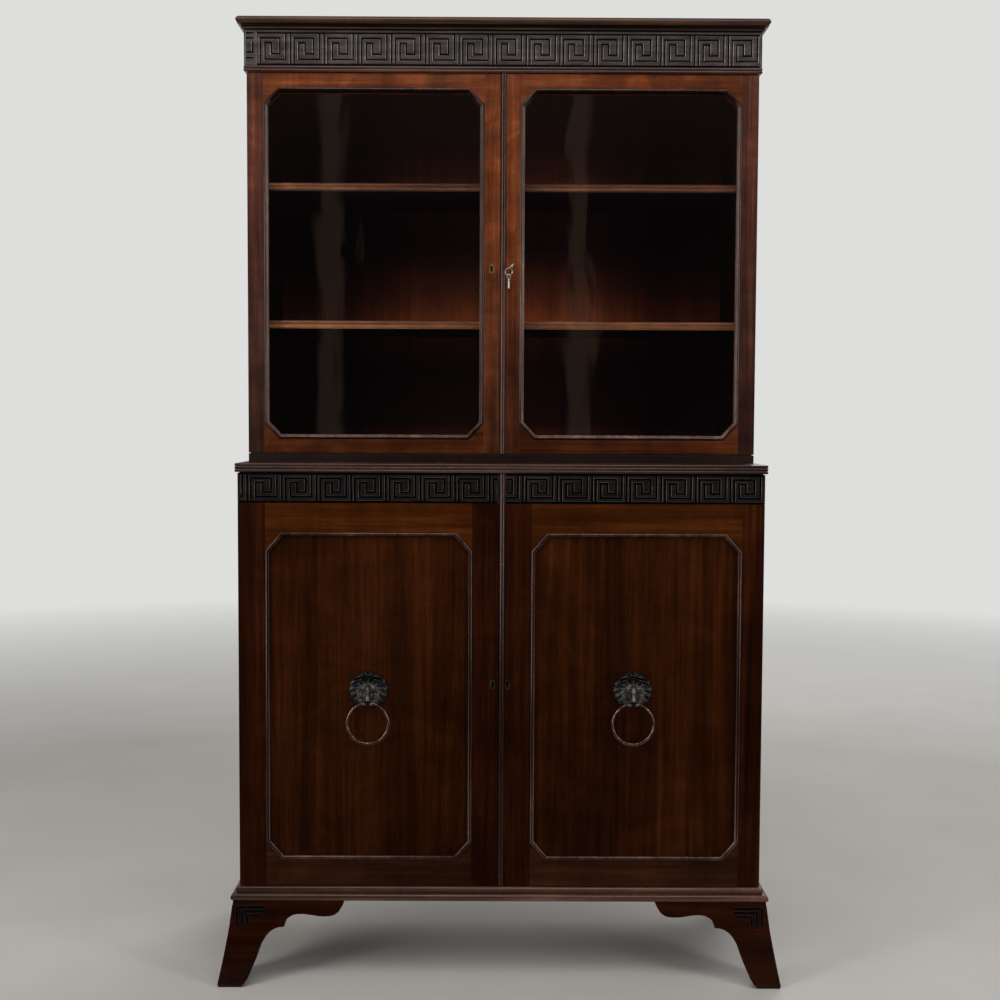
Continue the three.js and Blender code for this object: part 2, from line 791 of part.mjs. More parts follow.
function lockBolt() {
  const y = [boltFront, boltFront + boltThickness];
  const headEnd = boltTip + boltHeadLength;
  const bodyEnd = headEnd + boltBodyWidth;
  const top = keyholeLevel + boltRise;
  const half = boltHeight / 2;
  const head = box([boltTip, headEnd + fit], y, [keyholeLevel - half, keyholeLevel + half]);
  const body = box([headEnd, bodyEnd], y, [keyholeLevel - half, top]);
  const tail = box([bodyEnd - fit, bodyEnd + boltTailLength], y, [top - boltTailHeight, top]);
  return join([head, body, tail]);
}

function strikeSlot() {
  const half = boltHeight / 2 + 2 * fit;
  return box(
    [leftDoorEdge - boltThrow, leftDoorEdge + overrun],
    [boltClear[0] - fit, boltClear[1] + fit],
    [keyholeLevel - half, keyholeLevel + half],
  );
}

const dummyKeyholeX = leftDoorEdge - dummyKeyholeInset;
const escutcheonLevel = keyholeLevel - keyholeSlotDrop / 3;

function dummyKeyhole() {
  return keyholeCutters(dummyKeyholeX, keyholeLevel, upperDoor.front, keyholeDepth);
}

function stadiumShape(width, height) {
  const radius = width / 2;
  const straight = height / 2 - radius;
  const shape = new THREE.Shape();
  shape.absarc(0, straight, radius, 0, Math.PI);
  shape.absarc(0, -straight, radius, Math.PI, 2 * Math.PI);
  return shape;
}

function escutcheonRecess() {
  const shape = stadiumShape(escutcheonWidth + 2 * fit, escutcheonHeight + 2 * fit);
  const floor = upperDoor.front - escutcheonProud + escutcheonThickness + fit;
  const recess = plate(shape, upperDoor.front - overrun, floor, escutcheonSides);
  return recess.translate(dummyKeyholeX, 0, escutcheonLevel);
}

function escutcheon() {
  const front = upperDoor.front - escutcheonProud;
  const shape = stadiumShape(escutcheonWidth, escutcheonHeight);
  const strip = plate(shape, front, front + escutcheonThickness, escutcheonSides);
  strip.translate(dummyKeyholeX, 0, escutcheonLevel);
  return cut(strip, dummyKeyhole());
}

// An oval ring of oval wire about a point of the YZ plane
function ovalRing(halfY, halfZ, wireIn, wireAcross) {
  const rings = [];
  for (let i = 0; i < bowSteps; i += 1) {
    const turn = (2 * Math.PI * i) / bowSteps;
    const ring = [];
    for (let k = 0; k < wireSides; k += 1) {
      const angle = (2 * Math.PI * k) / wireSides;
      const y = (halfY + wireIn * Math.cos(angle)) * Math.cos(turn);
      const z = (halfZ + wireIn * Math.cos(angle)) * Math.sin(turn);
      ring.push([wireAcross * Math.sin(angle), y, z]);
    }
    rings.push(ring);
  }
  return loft(rings, true);
}

// The key, drawn about its shank with the door face at zero
function key() {
  const wire = keyBowWire / 2;
  const bow = ovalRing(keyBowWidth / 2 - wire, keyBowLength / 2 - wire, wire, keyBowThickness / 2);
  bow.translate(0, -keyBowStandoff, 0);
  const bowBack = -keyBowStandoff + keyBowWidth / 2 - wire;
  const collarFront = bowBack + wire;
  const bit = box(
    [-keyBitThickness / 2, keyBitThickness / 2],
    [keyTipReach - fit - keyBitWidth, keyTipReach - fit],
    [-keyBitLength, 0],
  );
  return join([
    bow,
    rod(keyShankRadius, bowBack, keyTipReach, hingeSides),
    rod(keyCollarRadius, collarFront, collarFront + keyCollarLength, hingeSides),
    bit,
  ]);
}

// The tag that hangs on the key's bow: a ring, a link and a turned drop, drawn about the bow's wire
function keyFob() {
  const wire = fobRingWire / 2;
  const ring = ovalRing(fobRingRadius, fobRingRadius, wire, wire).rotateZ(Math.PI / 2);
  ring.translate(0, 0, -fobHang);
  const linkTop = -fobHang - fobRingRadius;
  const dropTop = linkTop - fobLinkLength;
  const link = post(wire, dropTop - wire, linkTop, wireSides);
  const points = fobProfileShares.map(([out, up]) => new THREE.Vector2(out * fobRadius, up * fobLength));
  const drop = new THREE.LatheGeometry(points, fobSides);
  drop.rotateX(Math.PI / 2).translate(0, 0, dropTop - fobLength);
  return join([ring, link, drop]);
}

// Lion mask, drawn about the middle of its back on the panel
// Each feature is its centre and its half sizes, as shares of the mask's half width
const maskFeatureShares = [
  { at: [0, -0.24, 0.05], half: [0.53, 0.31, 0.6] },
  { at: [0, -0.48, -0.05], half: [0.11, 0.2, 0.36] },
  { at: [0, -0.38, -0.58], half: [0.18, 0.17, 0.17] },
];
const maskPairedShares = [
  { at: [0.23, -0.43, 0.11], half: [0.19, 0.13, 0.1] },
  { at: [0.33, -0.31, -0.17], half: [0.18, 0.17, 0.17] },
  { at: [0.13, -0.43, -0.4], half: [0.19, 0.2, 0.18] },
];

function maskLump({ at, half }, side) {
  const [x, y, z] = at.map((share) => share * maskHalfWidth);
  return lump([side * x, y, z], half.map((share) => share * maskHalfWidth));
}

function maneLock(turn) {
  const x = maskHalfWidth * maneReachShare * Math.cos(turn);
  const z = maskHalfHeight * maneReachShare * Math.sin(turn);
  const half = [maskHalfWidth * maneLockShare, maskPlateDepth, maskHalfHeight * maneLockShare];
  return lump([x, -maskPlateDepth / 3, z], half);
}

function lionMask() {
  const plateHalf = [maskHalfWidth * manePlateShare, maskPlateDepth, maskHalfHeight * manePlateShare];
  const pieces = [lump([0, 0, 0], plateHalf)];
  pieces.push(...maskFeatureShares.map((feature) => maskLump(feature, 1)));
  for (let i = 0; i < maneLocks; i += 1) {
    pieces.push(maneLock((2 * Math.PI * (i + 0.5)) / maneLocks));
  }
  [-1, 1].forEach((side) => {
    pieces.push(...maskPairedShares.map((feature) => maskLump(feature, side)));
  });
  const reach = 2 * maskHalfWidth;
  const channel = new THREE.CylinderGeometry(ringChannelRadius, ringChannelRadius, reach, hingeSides);
  channel.rotateZ(Math.PI / 2).translate(0, -ringForward, -ringDrop);
  const swings = [-1, 1].map((side) => box(
    [side * ringMouthHalf, side * reach],
    [-reach, -ringForward + ringChannelRadius],
    [-reach, -ringDrop + ringChannelRadius],
  ));
  return cut(join(pieces), [box([-reach, reach], [0, reach], [-reach, reach]), channel, ...swings]);
}

// Ring pull, drawn about the top of its ring and thicker towards the bottom
function ringPull() {
  const rings = [];
  for (let i = 0; i < ringSteps; i += 1) {
    const turn = (2 * Math.PI * i) / ringSteps;
    const wire = ringWireTop + ((ringWireBottom - ringWireTop) * (1 - Math.cos(turn))) / 2;
    const ring = [];
    for (let k = 0; k < wireSides; k += 1) {
      const angle = (2 * Math.PI * k) / wireSides;
      const radius = ringRadius + wire * Math.cos(angle);
      ring.push([radius * Math.sin(turn), wire * Math.sin(angle), radius * Math.cos(turn) - ringRadius]);
    }
    rings.push(ring);
  }
  return loft(rings, true);
}

// Assembly
function piece(name, shape, finish, position = [0, 0, 0]) {
  const transparent = finish === glass;
  const material = new THREE.MeshStandardMaterial({ ...finish, transparent, opacity: transparent ? 0.3 : 1 });
  const mesh = new THREE.Mesh(geometryOf(shape), material);
  mesh.name = name;
  mesh.position.set(...position);
  return mesh;
}

function hingePlaces(side, door) {
  const axisY = door.front + doorThickness + doorGap / 2;
  const [bottom, top] = hingeLevels(door);
  return [['bottom', bottom], ['top', top]].map(([word, level]) => [word, [side * caseHalf, axisY, level]]);
}

function cabinet() {
  const group = new THREE.Group();
  const shelfFront = upperCaseFront + shelfSetback;
  const upperShelves = [levelUpperCase + lowShelfRise, levelUpperCase + highShelfRise];
  const lowerShelves = [levelCase + lowerShelfRise];
  const lowerShelfFront = lowerCaseFront + lowerShelfSetback;
  group.add(piece('cornice_moulding', corniceMoulding(), wood));
  group.add(piece('cornice_frieze', corniceFrieze(), blackWood));
  group.add(piece('upper_base_board', upperBaseBoard(), wood));
  group.add(piece('upper_back', backBoard(levelUpperCase, levelCornice), innerWood));
  group.add(piece('upper_shelf_low', shelf(upperShelves[0], shelfFront), redWood));
  group.add(piece('upper_shelf_high', shelf(upperShelves[1], shelfFront), redWood));
  group.add(piece('lower_top', topBoard(), wood));
  group.add(piece('lower_bottom', bottomBoard(), innerWood));
  group.add(piece('lower_back', backBoard(levelCase, levelTopBoard), innerWood));
  group.add(piece('lower_shelf', shelf(lowerShelves[0], lowerShelfFront), innerWood));
  group.add(piece('base_moulding', baseMoulding(), wood));
  [['left', -1], ['right', 1]].forEach(([word, side]) => {
    group.add(piece(`upper_side_${word}`, upperSide(side, upperShelves, shelfFront), wood));
    group.add(piece(`lower_side_${word}`, lowerSide(side, lowerShelves, lowerShelfFront), wood));
    group.add(piece(`foot_front_${word}`, foot(side, false), wood));
    group.add(piece(`foot_back_${word}`, foot(side, true), wood));
    [['upper', upperDoor], ['lower', lowerDoor]].forEach(([storey, door]) => {
      hingePlaces(side, door).forEach(([end, position]) => {
        group.add(piece(`${storey}_${word}_hinge_${end}_case_leaf`, caseLeaf(side), brass, position));
      });
    });
  });
  return group;
}

function addDoorLeaves(group, storey, word, side, door) {
  hingePlaces(side, door).forEach(([end, position]) => {
    group.add(piece(`${storey}_${word}_hinge_${end}_door_leaf`, doorLeaf(side), brass, position));
  });
}

function upperDoors() {
  const group = new THREE.Group();
  [['left', -1], ['right', 1]].forEach(([word, side]) => {
    group.add(piece(`upper_${word}_door_frame`, glazedFrame(side), redWood));
    group.add(piece(`upper_${word}_glazing_moulding`, glazingMoulding(side), redWood));
    group.add(piece(`upper_${word}_glass`, glassPane(side), glass));
    addDoorLeaves(group, 'upper', word, side, upperDoor);
  });
  group.add(piece('upper_left_escutcheon', escutcheon(), brass));
  group.add(piece('upper_right_astragal', astragal(upperDoor, 0, 0), redWood));
  group.add(piece('upper_right_lock_case', lockCase(), brass));
  group.add(piece('upper_right_lock_bolt', lockBolt(), brass));
  group.add(keyGroup());
  return group;
}

// The key stands turned in its keyhole, with its tag hanging from the lower end of the bow
function keyGroup() {
  const group = new THREE.Group();
  group.position.set(keyX, upperDoor.front, keyholeLevel);
  const turned = piece('key', key(), brass);
  turned.rotation.y = keyTilt;
  const wireCentre = keyBowLength / 2 - keyBowWire / 2;
  const hook = [-wireCentre * Math.sin(keyTilt), -keyBowStandoff, -wireCentre * Math.cos(keyTilt)];
  group.add(turned);
  group.add(piece('key_fob', keyFob(), brass, hook));
  return group;
}

function lowerDoors() {
  const group = new THREE.Group();
  const panelFace = lowerDoor.front + panelRecess - fit;
  const maskLevel = lowerDoor.bottom + maskRise;
  [['left', -1], ['right', 1]].forEach(([word, side]) => {
    group.add(piece(`lower_${word}_door_frame`, panelledFrame(side), wood));
    group.add(piece(`lower_${word}_panel`, panel(side), wood));
    group.add(piece(`lower_${word}_panel_bead`, panelBead(side), wood));
    group.add(piece(`lower_${word}_frieze`, doorFrieze(side), blackWood));
    group.add(piece(`lower_${word}_lion_mask`, lionMask(), bronze, [side * pullX, panelFace, maskLevel]));
    const ringPlace = [side * pullX, panelFace - ringForward, maskLevel - ringDrop];
    group.add(piece(`lower_${word}_ring`, ringPull(), bronze, ringPlace));
    addDoorLeaves(group, 'lower', word, side, lowerDoor);
  });
  const tongueBack = lowerDoor.front + doorFriezeThickness - doorFriezeProud;
  group.add(piece('lower_right_astragal', astragal(lowerDoor, tongueBack, doorFriezeHeight), wood));
  return group;
}

const bookcase = new THREE.Group();
bookcase.add(cabinet(), upperDoors(), lowerDoors());
bookcase.position.y = -(lowerDepth - footTopOverhang - footFrontSplay) / 2;

const group = new THREE.Group();
group.add(bookcase);

export default group;
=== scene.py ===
import functools
import math

import bmesh
import bpy
import numpy as np
from mathutils import Matrix, Vector, noise


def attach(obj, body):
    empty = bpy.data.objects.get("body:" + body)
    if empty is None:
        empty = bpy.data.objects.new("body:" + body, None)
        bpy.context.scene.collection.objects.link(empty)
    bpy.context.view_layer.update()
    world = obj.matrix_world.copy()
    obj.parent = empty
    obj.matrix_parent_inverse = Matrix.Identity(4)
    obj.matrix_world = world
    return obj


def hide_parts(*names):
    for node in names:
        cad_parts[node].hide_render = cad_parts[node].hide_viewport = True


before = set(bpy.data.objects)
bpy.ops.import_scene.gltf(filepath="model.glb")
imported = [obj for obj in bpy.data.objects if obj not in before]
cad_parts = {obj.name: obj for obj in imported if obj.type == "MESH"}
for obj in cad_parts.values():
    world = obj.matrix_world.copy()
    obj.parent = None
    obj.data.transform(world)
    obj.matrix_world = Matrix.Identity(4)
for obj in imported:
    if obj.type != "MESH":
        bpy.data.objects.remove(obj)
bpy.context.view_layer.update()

# Lengths are millimetres in the part's own frame, where Y is zero at the lower door faces
MM = 0.001
Y_SHIFT = 216.5
SIDES = (("left", -1), ("right", 1))

# Case: half widths, depths from the lower door faces, and levels from the floor
CASE_HALF = 522.0
SIDE = 22.0
INNER_HALF = CASE_HALF - SIDE
BACK = 470.0
BACK_BOARD = 458.0
UPPER_FRONT = 130.0
DOOR = 22.0
DOOR_GAP = 0.6
FIT = 0.3
UPPER_CASE_FRONT = UPPER_FRONT + DOOR + DOOR_GAP
LOWER_CASE_FRONT = DOOR + DOOR_GAP
FOOT = 168.0
CASE_LEVEL = 194.0
TOP_LEVEL = 1026.5
UPPER_LEVEL = 1044.0
UPPER_CASE_LEVEL = 1060.0
FRIEZE_LEVEL = 1836.0
CORNICE_LEVEL = 1919.0
TOP = 1945.0

# Doors: the edges where each pair meets, and the span of each storey
LEFT_EDGE = -4.5
RIGHT_EDGE = -3.5
ASTRAGAL_EDGE = 7.0
UPPER_DOOR = {"bottom": 1061.5, "top": 1834.5, "front": UPPER_FRONT, "lip": 8.0, "rebate": 11.3}
LOWER_DOOR = {"bottom": 195.5, "top": 1025.0, "front": 0.0, "lip": 12.0, "rebate": 13.3}

# Keyholes: levels and places from the middle
KEY_LEVEL = 1443.5
KEY_X = 18.5
DUMMY_X = -21.5
LOWER_KEY_LEVEL = 607.0
LOWER_KEY_LEFT = -16.2
LOWER_KEY_RIGHT = 13.5

# Running key: the pitch of its units, and the path of one groove as shares of pitch and height
KEY_PITCH = 68.5
GROOVE_DEPTH = 2.6
KEY_PATH = [(0.86, 1), (0.86, 0.17), (0.25, 0.17), (0.25, 0.69), (0.44, 0.69),
            (0.44, 0.34), (0.69, 0.34), (0.69, 0.84), (0.11, 0.84), (0.11, 0)]


def at(x, y, z):
    """A point of the part's own frame, in metres in the row frame."""
    return Vector((x * MM, (y - Y_SHIFT) * MM, z * MM))


def linear(r, g, b):
    """A colour written as on a screen, from 0 to 255, as the linear values that nodes take."""
    def one(c):
        c /= 255
        return c / 12.92 if c <= 0.04045 else ((c + 0.055) / 1.055) ** 2.4
    return (one(r), one(g), one(b), 1.0)


def grey(level):
    return (level, level, level, 1)


BLACK = grey(0)
WHITE = grey(1)


# Materials

class Nodes:
    """A short way to write the node tree of a material or a world."""

    def __init__(self, holder, output="ShaderNodeOutputMaterial"):
        holder.use_nodes = True
        self.holder = holder
        self.tree = holder.node_tree
        self.tree.nodes.clear()
        self.output = self.add(output)

    def add(self, kind, **values):
        node = self.tree.nodes.new(kind)
        for key, value in values.items():
            setattr(node, key, value)
        return node

    def link(self, source, target):
        self.tree.links.new(source, target)

    def put(self, value, socket):
        if isinstance(value, bpy.types.NodeSocket):
            self.link(value, socket)
        else:
            socket.default_value = value

    def filled(self, kind, output, inputs, **values):
        """A node with the named or numbered inputs filled. Returns one of its outputs."""
        node = self.add(kind, **values)
        for key, value in inputs.items():
            self.put(value, node.inputs[key])
        return node.outputs[output]

    def noise(self, vector, scale, detail=3.0, rough=0.55, distortion=0.0):
        return self.filled("ShaderNodeTexNoise", "Fac", {
            "Scale": scale, "Detail": detail, "Roughness": rough, "Distortion": distortion, "Vector": vector})

    def ramp(self, fac, stops):
        node = self.add("ShaderNodeValToRGB")
        ramp = node.color_ramp
        while len(ramp.elements) < len(stops):
            ramp.elements.new(0.5)
        for element, (place, colour) in zip(ramp.elements, stops):
            element.position = place
            element.color = colour
        self.link(fac, node.inputs["Fac"])
        return node.outputs["Color"]

    def span(self, value, low, high, out_low, out_high):
        return self.filled("ShaderNodeMapRange", "Result", {
            "From Min": low, "From Max": high, "To Min": out_low, "To Max": out_high, "Value": value})

    def mix(self, fac, first, second, blend="MIX"):
        inputs = {"Factor": fac, 6: first, 7: second}
        return self.filled("ShaderNodeMix", 2, inputs, data_type="RGBA", blend_type=blend)

    def multiply(self, colour, factor, amount=1.0):
        return self.mix(amount, colour, factor, "MULTIPLY")

    def mix_shader(self, fac, first, second):
        return self.filled("ShaderNodeMixShader", 0, {0: fac, 1: first, 2: second})

    def maths(self, operation, first, second=0.0):
        return self.filled("ShaderNodeMath", 0, {0: first, 1: second}, operation=operation)

    def scaled(self, vector, scale):
        return self.filled("ShaderNodeMapping", "Vector", {"Scale": scale, "Vector": vector})

    def coords(self):
        return self.add("ShaderNodeTexCoord").outputs["Object"]

    def split(self, vector):
        node = self.add("ShaderNodeSeparateXYZ")
        self.link(vector, node.inputs[0])
        return node.outputs

    def emission(self, colour, strength=1.0):
        return self.filled("ShaderNodeEmission", 0, {"Color": colour, "Strength": strength})

    def place(self):
        """Object coordinates, shifted for each piece so that no two boards share a figure."""
        coords = self.coords()
        random = self.add("ShaderNodeObjectInfo").outputs["Random"]
        shifts = {k: self.maths("MULTIPLY", random, amount) for k, amount in enumerate((3.7, 5.3, 9.1))}
        shift = self.filled("ShaderNodeCombineXYZ", 0, shifts)
        moved = self.filled("ShaderNodeVectorMath", 0, {0: coords, 1: shift}, operation="ADD")
        return moved, coords, random

    def bump(self, height, strength, distance, normal=None):
        inputs = {"Strength": strength, "Distance": distance, "Height": height}
        if normal is not None:
            inputs["Normal"] = normal
        return self.filled("ShaderNodeBump", "Normal", inputs)

    def finish(self, shader):
        self.link(shader, self.output.inputs["Surface"])
        return self.holder

    def surface(self, colour, rough, normal, **constants):
        inputs = {"Base Color": colour, "Roughness": rough, "Normal": normal}
        inputs.update({key.replace("_", " "): value for key, value in constants.items()})
        return self.finish(self.filled("ShaderNodeBsdfPrincipled", 0, inputs))


def new_nodes(name):
    return Nodes(bpy.data.materials.new(name))


def along(axis, long_scale, cross_scale):
    """Noise scale for grain that runs along an axis."""
    return tuple(long_scale if k == "XYZ".index(axis) else cross_scale for k in range(3))


def scaled_tone(colour, factor):
    return tuple(min(1.0, c * factor) for c in colour[:3]) + (1.0,)


def graded(n, value, colour, stops, amount=1.0):
    """A colour that a ramp of factors makes paler or darker along a value."""
    low, high = stops[0][0], stops[-1][0]
    share = n.span(value, low, high, 0.0, 1.0)
    top = max(factor for _place, factor in stops)
    factors = n.ramp(share, [((place - low) / (high - low), grey(factor / top)) for place, factor in stops])
    return n.mix(amount, colour, n.multiply(n.multiply(colour, factors), grey(top)))


# Deep, mid and pale tone of each wood, its roughness range and its specular level
WOODS = {
    "stile": ((50, 21, 12), (76, 38, 26), (106, 61, 46), (0.24, 0.38), 0.3),
    "warm": ((76, 31, 9), (102, 49, 21), (134, 73, 36), (0.24, 0.38), 0.26),
    "bright": ((86, 36, 12), (116, 58, 27), (150, 84, 46), (0.24, 0.38), 0.26),
    "foot_rail": ((54, 20, 3), (79, 34, 9), (100, 50, 19), (0.24, 0.38), 0.2),
    # plinth: darkened to stand for shade on the strip under the upper doors, painted shade
    "plinth": ((20, 11, 9), (32, 19, 15), (46, 30, 25), (0.28, 0.42), 0.34),
    "sill": ((30, 12, 3), (48, 22, 8), (66, 34, 14), (0.22, 0.36), 0.14),
    "panel": ((30, 10, 1), (46, 18, 2), (63, 28, 6), (0.2, 0.34), 0.1),
    "dark": ((24, 6, 1), (41, 14, 2), (58, 24, 6), (0.2, 0.34), 0.1),
    "rail": ((46, 18, 1), (64, 28, 3), (84, 42, 9), (0.2, 0.34), 0.1),
    "cornice": ((30, 17, 11), (50, 32, 21), (80, 60, 40), (0.22, 0.34), 0.34),
    "moulding": ((36, 19, 14), (62, 37, 29), (102, 70, 57), (0.18, 0.3), 0.55),
    "base": ((46, 25, 17), (74, 46, 35), (108, 76, 60), (0.18, 0.3), 0.5),
    "bead": ((28, 13, 9), (46, 25, 18), (70, 44, 33), (0.14, 0.24), 0.42),
    # bead_line: a paler tone for the flanks of the beads, painted highlight
    "bead_line": ((62, 43, 36), (93, 70, 61), (126, 103, 92), (0.14, 0.24), 0.42),
    # inner and case_back: darkened to stand for the shade inside the case, painted shade
    "inner": ((22, 7, 4), (44, 15, 8), (66, 26, 14), (0.6, 0.75), 0.04),
    "case_back": ((26, 9, 3), (34, 12, 4), (44, 16, 6), (0.6, 0.75), 0.04),
    "shelf": ((66, 32, 14), (102, 60, 34), (140, 90, 56), (0.34, 0.5), 0.3),
    # under: near black for faces that look down or into the case, painted shade
    "under": ((8, 2, 1), (15, 5, 3), (24, 9, 6), (0.6, 0.75), 0.02),
    "side": ((34, 13, 7), (56, 25, 15), (80, 42, 27), (0.26, 0.42), 0.25),
    "back": ((58, 34, 20), (86, 54, 34), (112, 76, 50), (0.55, 0.7), 0.15),
}
# How strongly the ribbon figure shows, where it is not the usual half
USUAL_FIGURE = 0.5
FIGURES = {"warm": 1.0, "bright": 1.0, "stile": 1.0, "foot_rail": 0.8, "case_back": 0.15, "moulding": 0.3,
           "base": 0.3, "cornice": 0.3}
# Painted light and shade by height: levels in metres and the factor at each
# On the doors: painted fall-off of the light from above, darker towards the bottom
MEETING_PAINTED_FALLOFF = [(1.1, 0.42), (1.3, 0.52), (1.5, 0.92), (1.84, 0.9)]
LOWER_PAINTED_FALLOFF = [(0.25, 0.84), (0.6, 1.0), (0.9, 1.12)]
PAINTED_LIGHT_BY_HEIGHT = {
    "stile": [(1.1, 0.46), (1.42, 0.56), (1.62, 1.0), (1.84, 1.3)],
    "warm": MEETING_PAINTED_FALLOFF,
    "bright": MEETING_PAINTED_FALLOFF,
    "panel": LOWER_PAINTED_FALLOFF,
    "dark": LOWER_PAINTED_FALLOFF,
    # The cornice: painted shade under its fillet and in its hollow, and painted highlights on its fillet and
    # up its nosing, whose top is also paler from wear
    "cornice": [(1.919, 0.12), (1.9208, 0.12), (1.9214, 1.3), (1.9236, 1.4), (1.9242, 0.12), (1.929, 0.12),
                (1.9305, 1.7), (1.937, 2.2), (1.9405, 4.2), (1.9444, 4.2), (1.9448, 1.0), (1.945, 1.0)],
    # The back boards: painted pools of light just above the floor of the upper case and above each shelf, and
    # painted shade higher in each compartment
    "case_back": [(1.06, 6.0), (1.085, 4.0), (1.12, 0.8), (1.25, 0.3), (1.322, 1.5), (1.334, 13.0),
                  (1.352, 12.0), (1.385, 7.0), (1.42, 3.4), (1.48, 1.0), (1.52, 0.35), (1.6, 0.6),
                  (1.617, 8.0), (1.64, 6.5), (1.69, 2.2), (1.74, 0.8), (1.8, 0.5)],
    # The shelves' front strips: painted shade along their bottom, and darker along their top
    "shelf": [(1.318, 0.3), (1.3205, 1.0), (1.334, 1.0), (1.3355, 0.35), (1.6, 0.1), (1.6035, 0.15),
              (1.605, 1.0), (1.6155, 1.0), (1.6175, 0.35)],
}
# How the back boards and their painted pools of light darken away from the middle, painted shade: distances
# in metres and factors
BACK_PAINTED_LIGHT_ACROSS = [(0.0, 1.0), (0.2, 1.0), (0.33, 0.5), (0.55, 0.5)]
# How far the ribbon and the patches of old polish darken or lift the tone
RIBBON = [(0.3, 0.5), (0.44, 0.86), (0.56, 1.1), (0.7, 1.75)]
PATCHES = [(0.32, 0.72), (0.66, 1.16)]
EDGE_WEAR = 0.5
EDGE_LIFT = 1.5


@functools.cache
def wood(tone, axis, worn=False):
    """Polished mahogany: long streaks, a ribbon figure across them, open pores and patches of old polish."""
    *tones, rough, specular = WOODS[tone]
    deep, mid, pale = [linear(*colour) for colour in tones]
    if worn:
        deep, mid, pale = mid, pale, scaled_tone(pale, EDGE_LIFT)
    n = new_nodes(f"wood_{tone}_{axis}{'_edge' if worn else ''}".lower())
    place, coords, random = n.place()
    bands = n.noise(n.scaled(place, along(axis, 0.9, 15.0)), 1.0, 5.0, 0.6, 1.1)
    streaks = n.noise(n.scaled(place, along(axis, 3.2, 120.0)), 1.0, 5.0, 0.62, 0.3)
    ribbon = n.noise(n.scaled(place, along(axis, 9.0, 6.0)), 1.0, 4.0, 0.6, 1.6)
    pores = n.noise(n.scaled(place, along(axis, 55.0, 1000.0)), 1.0, 2.0, 0.5)
    patches = n.noise(coords, 2.6, 4.0, 0.6)
    share = n.maths("ADD", n.maths("MULTIPLY", bands, 0.55), n.maths("MULTIPLY", streaks, 0.45))
    colour = n.ramp(share, [(0.36, deep), (0.5, mid), (0.64, pale)])
    colour = graded(n, ribbon, colour, RIBBON, FIGURES.get(tone, USUAL_FIGURE))
    colour = graded(n, patches, colour, PATCHES)
    colour = n.multiply(colour, n.ramp(pores, [(0.34, (0.4, 0.35, 0.3, 1)), (0.46, WHITE)]), 0.6)
    lift = n.span(random, 0, 1, 0.92, 1.08)
    colour = n.multiply(colour, n.filled("ShaderNodeCombineColor", 0, {k: lift for k in range(3)}))
    # Painted light and shade by height, for the tones that have it
    if tone in PAINTED_LIGHT_BY_HEIGHT:
        colour = graded(n, n.split(coords)[2], colour, PAINTED_LIGHT_BY_HEIGHT[tone])
    # The back boards' tone and painted light weaken away from the middle: painted shade
    if tone == "case_back":
        colour = graded(n, n.maths("ABSOLUTE", n.split(coords)[0]), colour, BACK_PAINTED_LIGHT_ACROSS)
    if worn:
        rubbed = n.noise(n.scaled(coords, along(axis, 26.0, 80.0)), 1.0, 4.0, 0.7)
        mask = n.ramp(rubbed, [(0.42, BLACK), (0.62, WHITE)])
        colour = n.mix(n.maths("MULTIPLY", mask, EDGE_WEAR), colour, scaled_tone(pale, 2.0))
    gloss = n.maths("ADD", n.span(patches, 0.3, 0.7, *rough), n.span(pores, 0.3, 0.5, 0.1, 0.0))
    normal = n.bump(streaks, 0.06, 0.0008, n.bump(pores, 0.14, 0.0004))
    return n.surface(colour, gloss, normal, IOR=1.48, Specular_IOR_Level=specular)


def board_slots(tone, axis):
    return [wood(tone, axis), wood(tone, axis, True)]


# Deep, mid and pale tone of each part of the carved bands, their wear and their specular level
EBONY = {
    # upper: paler and greyer than lower, painted light
    "upper": ((36, 30, 29), (56, 49, 48), (78, 70, 69), 0.2, 0.4),
    # the edge tones: painted highlights on the bevels
    "upper_edge": ((96, 88, 86), (150, 141, 137), (196, 186, 180), 0.4, 0.6),
    # the groove tones: painted shade in the grooves
    "upper_groove": ((6, 4, 4), (12, 8, 8), (20, 14, 14), 0.0, 0.1),
    # lower: near black, partly the wood's own black and partly painted shade under the ledge
    "lower": ((12, 9, 8), (20, 16, 15), (30, 25, 23), 0.1, 0.3),
    "lower_edge": ((57, 50, 47), (92, 82, 78), (132, 121, 114), 0.4, 0.5),
    "lower_groove": ((3, 2, 2), (5, 4, 3), (9, 6, 6), 0.0, 0.05),
}


@functools.cache
def ebony(kind, axis):
    """Wood blackened for the carved bands, worn greyer where hands and cloths have rubbed it. Its paler kinds
    carry painted light and painted highlights, its groove kinds painted shade.
    """
    *tones, wear, specular = EBONY[kind]
    deep, mid, pale = [linear(*colour) for colour in tones]
    n = new_nodes(f"ebony_{kind}_{axis}".lower())
    place, coords, _random = n.place()
    bands = n.noise(n.scaled(place, along(axis, 6.0, 120.0)), 1.0, 5.0, 0.65)
    scuffs = n.noise(n.scaled(coords, along(axis, 25.0, 70.0)), 1.0, 5.0, 0.72)
    patches = n.noise(coords, 5.0, 3.0, 0.5)
    colour = n.ramp(bands, [(0.3, deep), (0.52, mid), (0.75, pale)])
    worn = n.ramp(scuffs, [(0.46, BLACK), (0.66, WHITE)])
    colour = n.mix(n.maths("MULTIPLY", worn, wear), colour, scaled_tone(pale, 1.9))
    colour = n.multiply(colour, n.ramp(patches, [(0.3, grey(0.72)), (0.7, grey(1.2))]), 0.8)
    gloss = n.span(scuffs, 0.3, 0.7, 0.26, 0.46)
    normal = n.bump(scuffs, 0.1, 0.0004, n.bump(bands, 0.16, 0.0003))
    return n.surface(colour, gloss, normal, IOR=1.46, Specular_IOR_Level=specular)


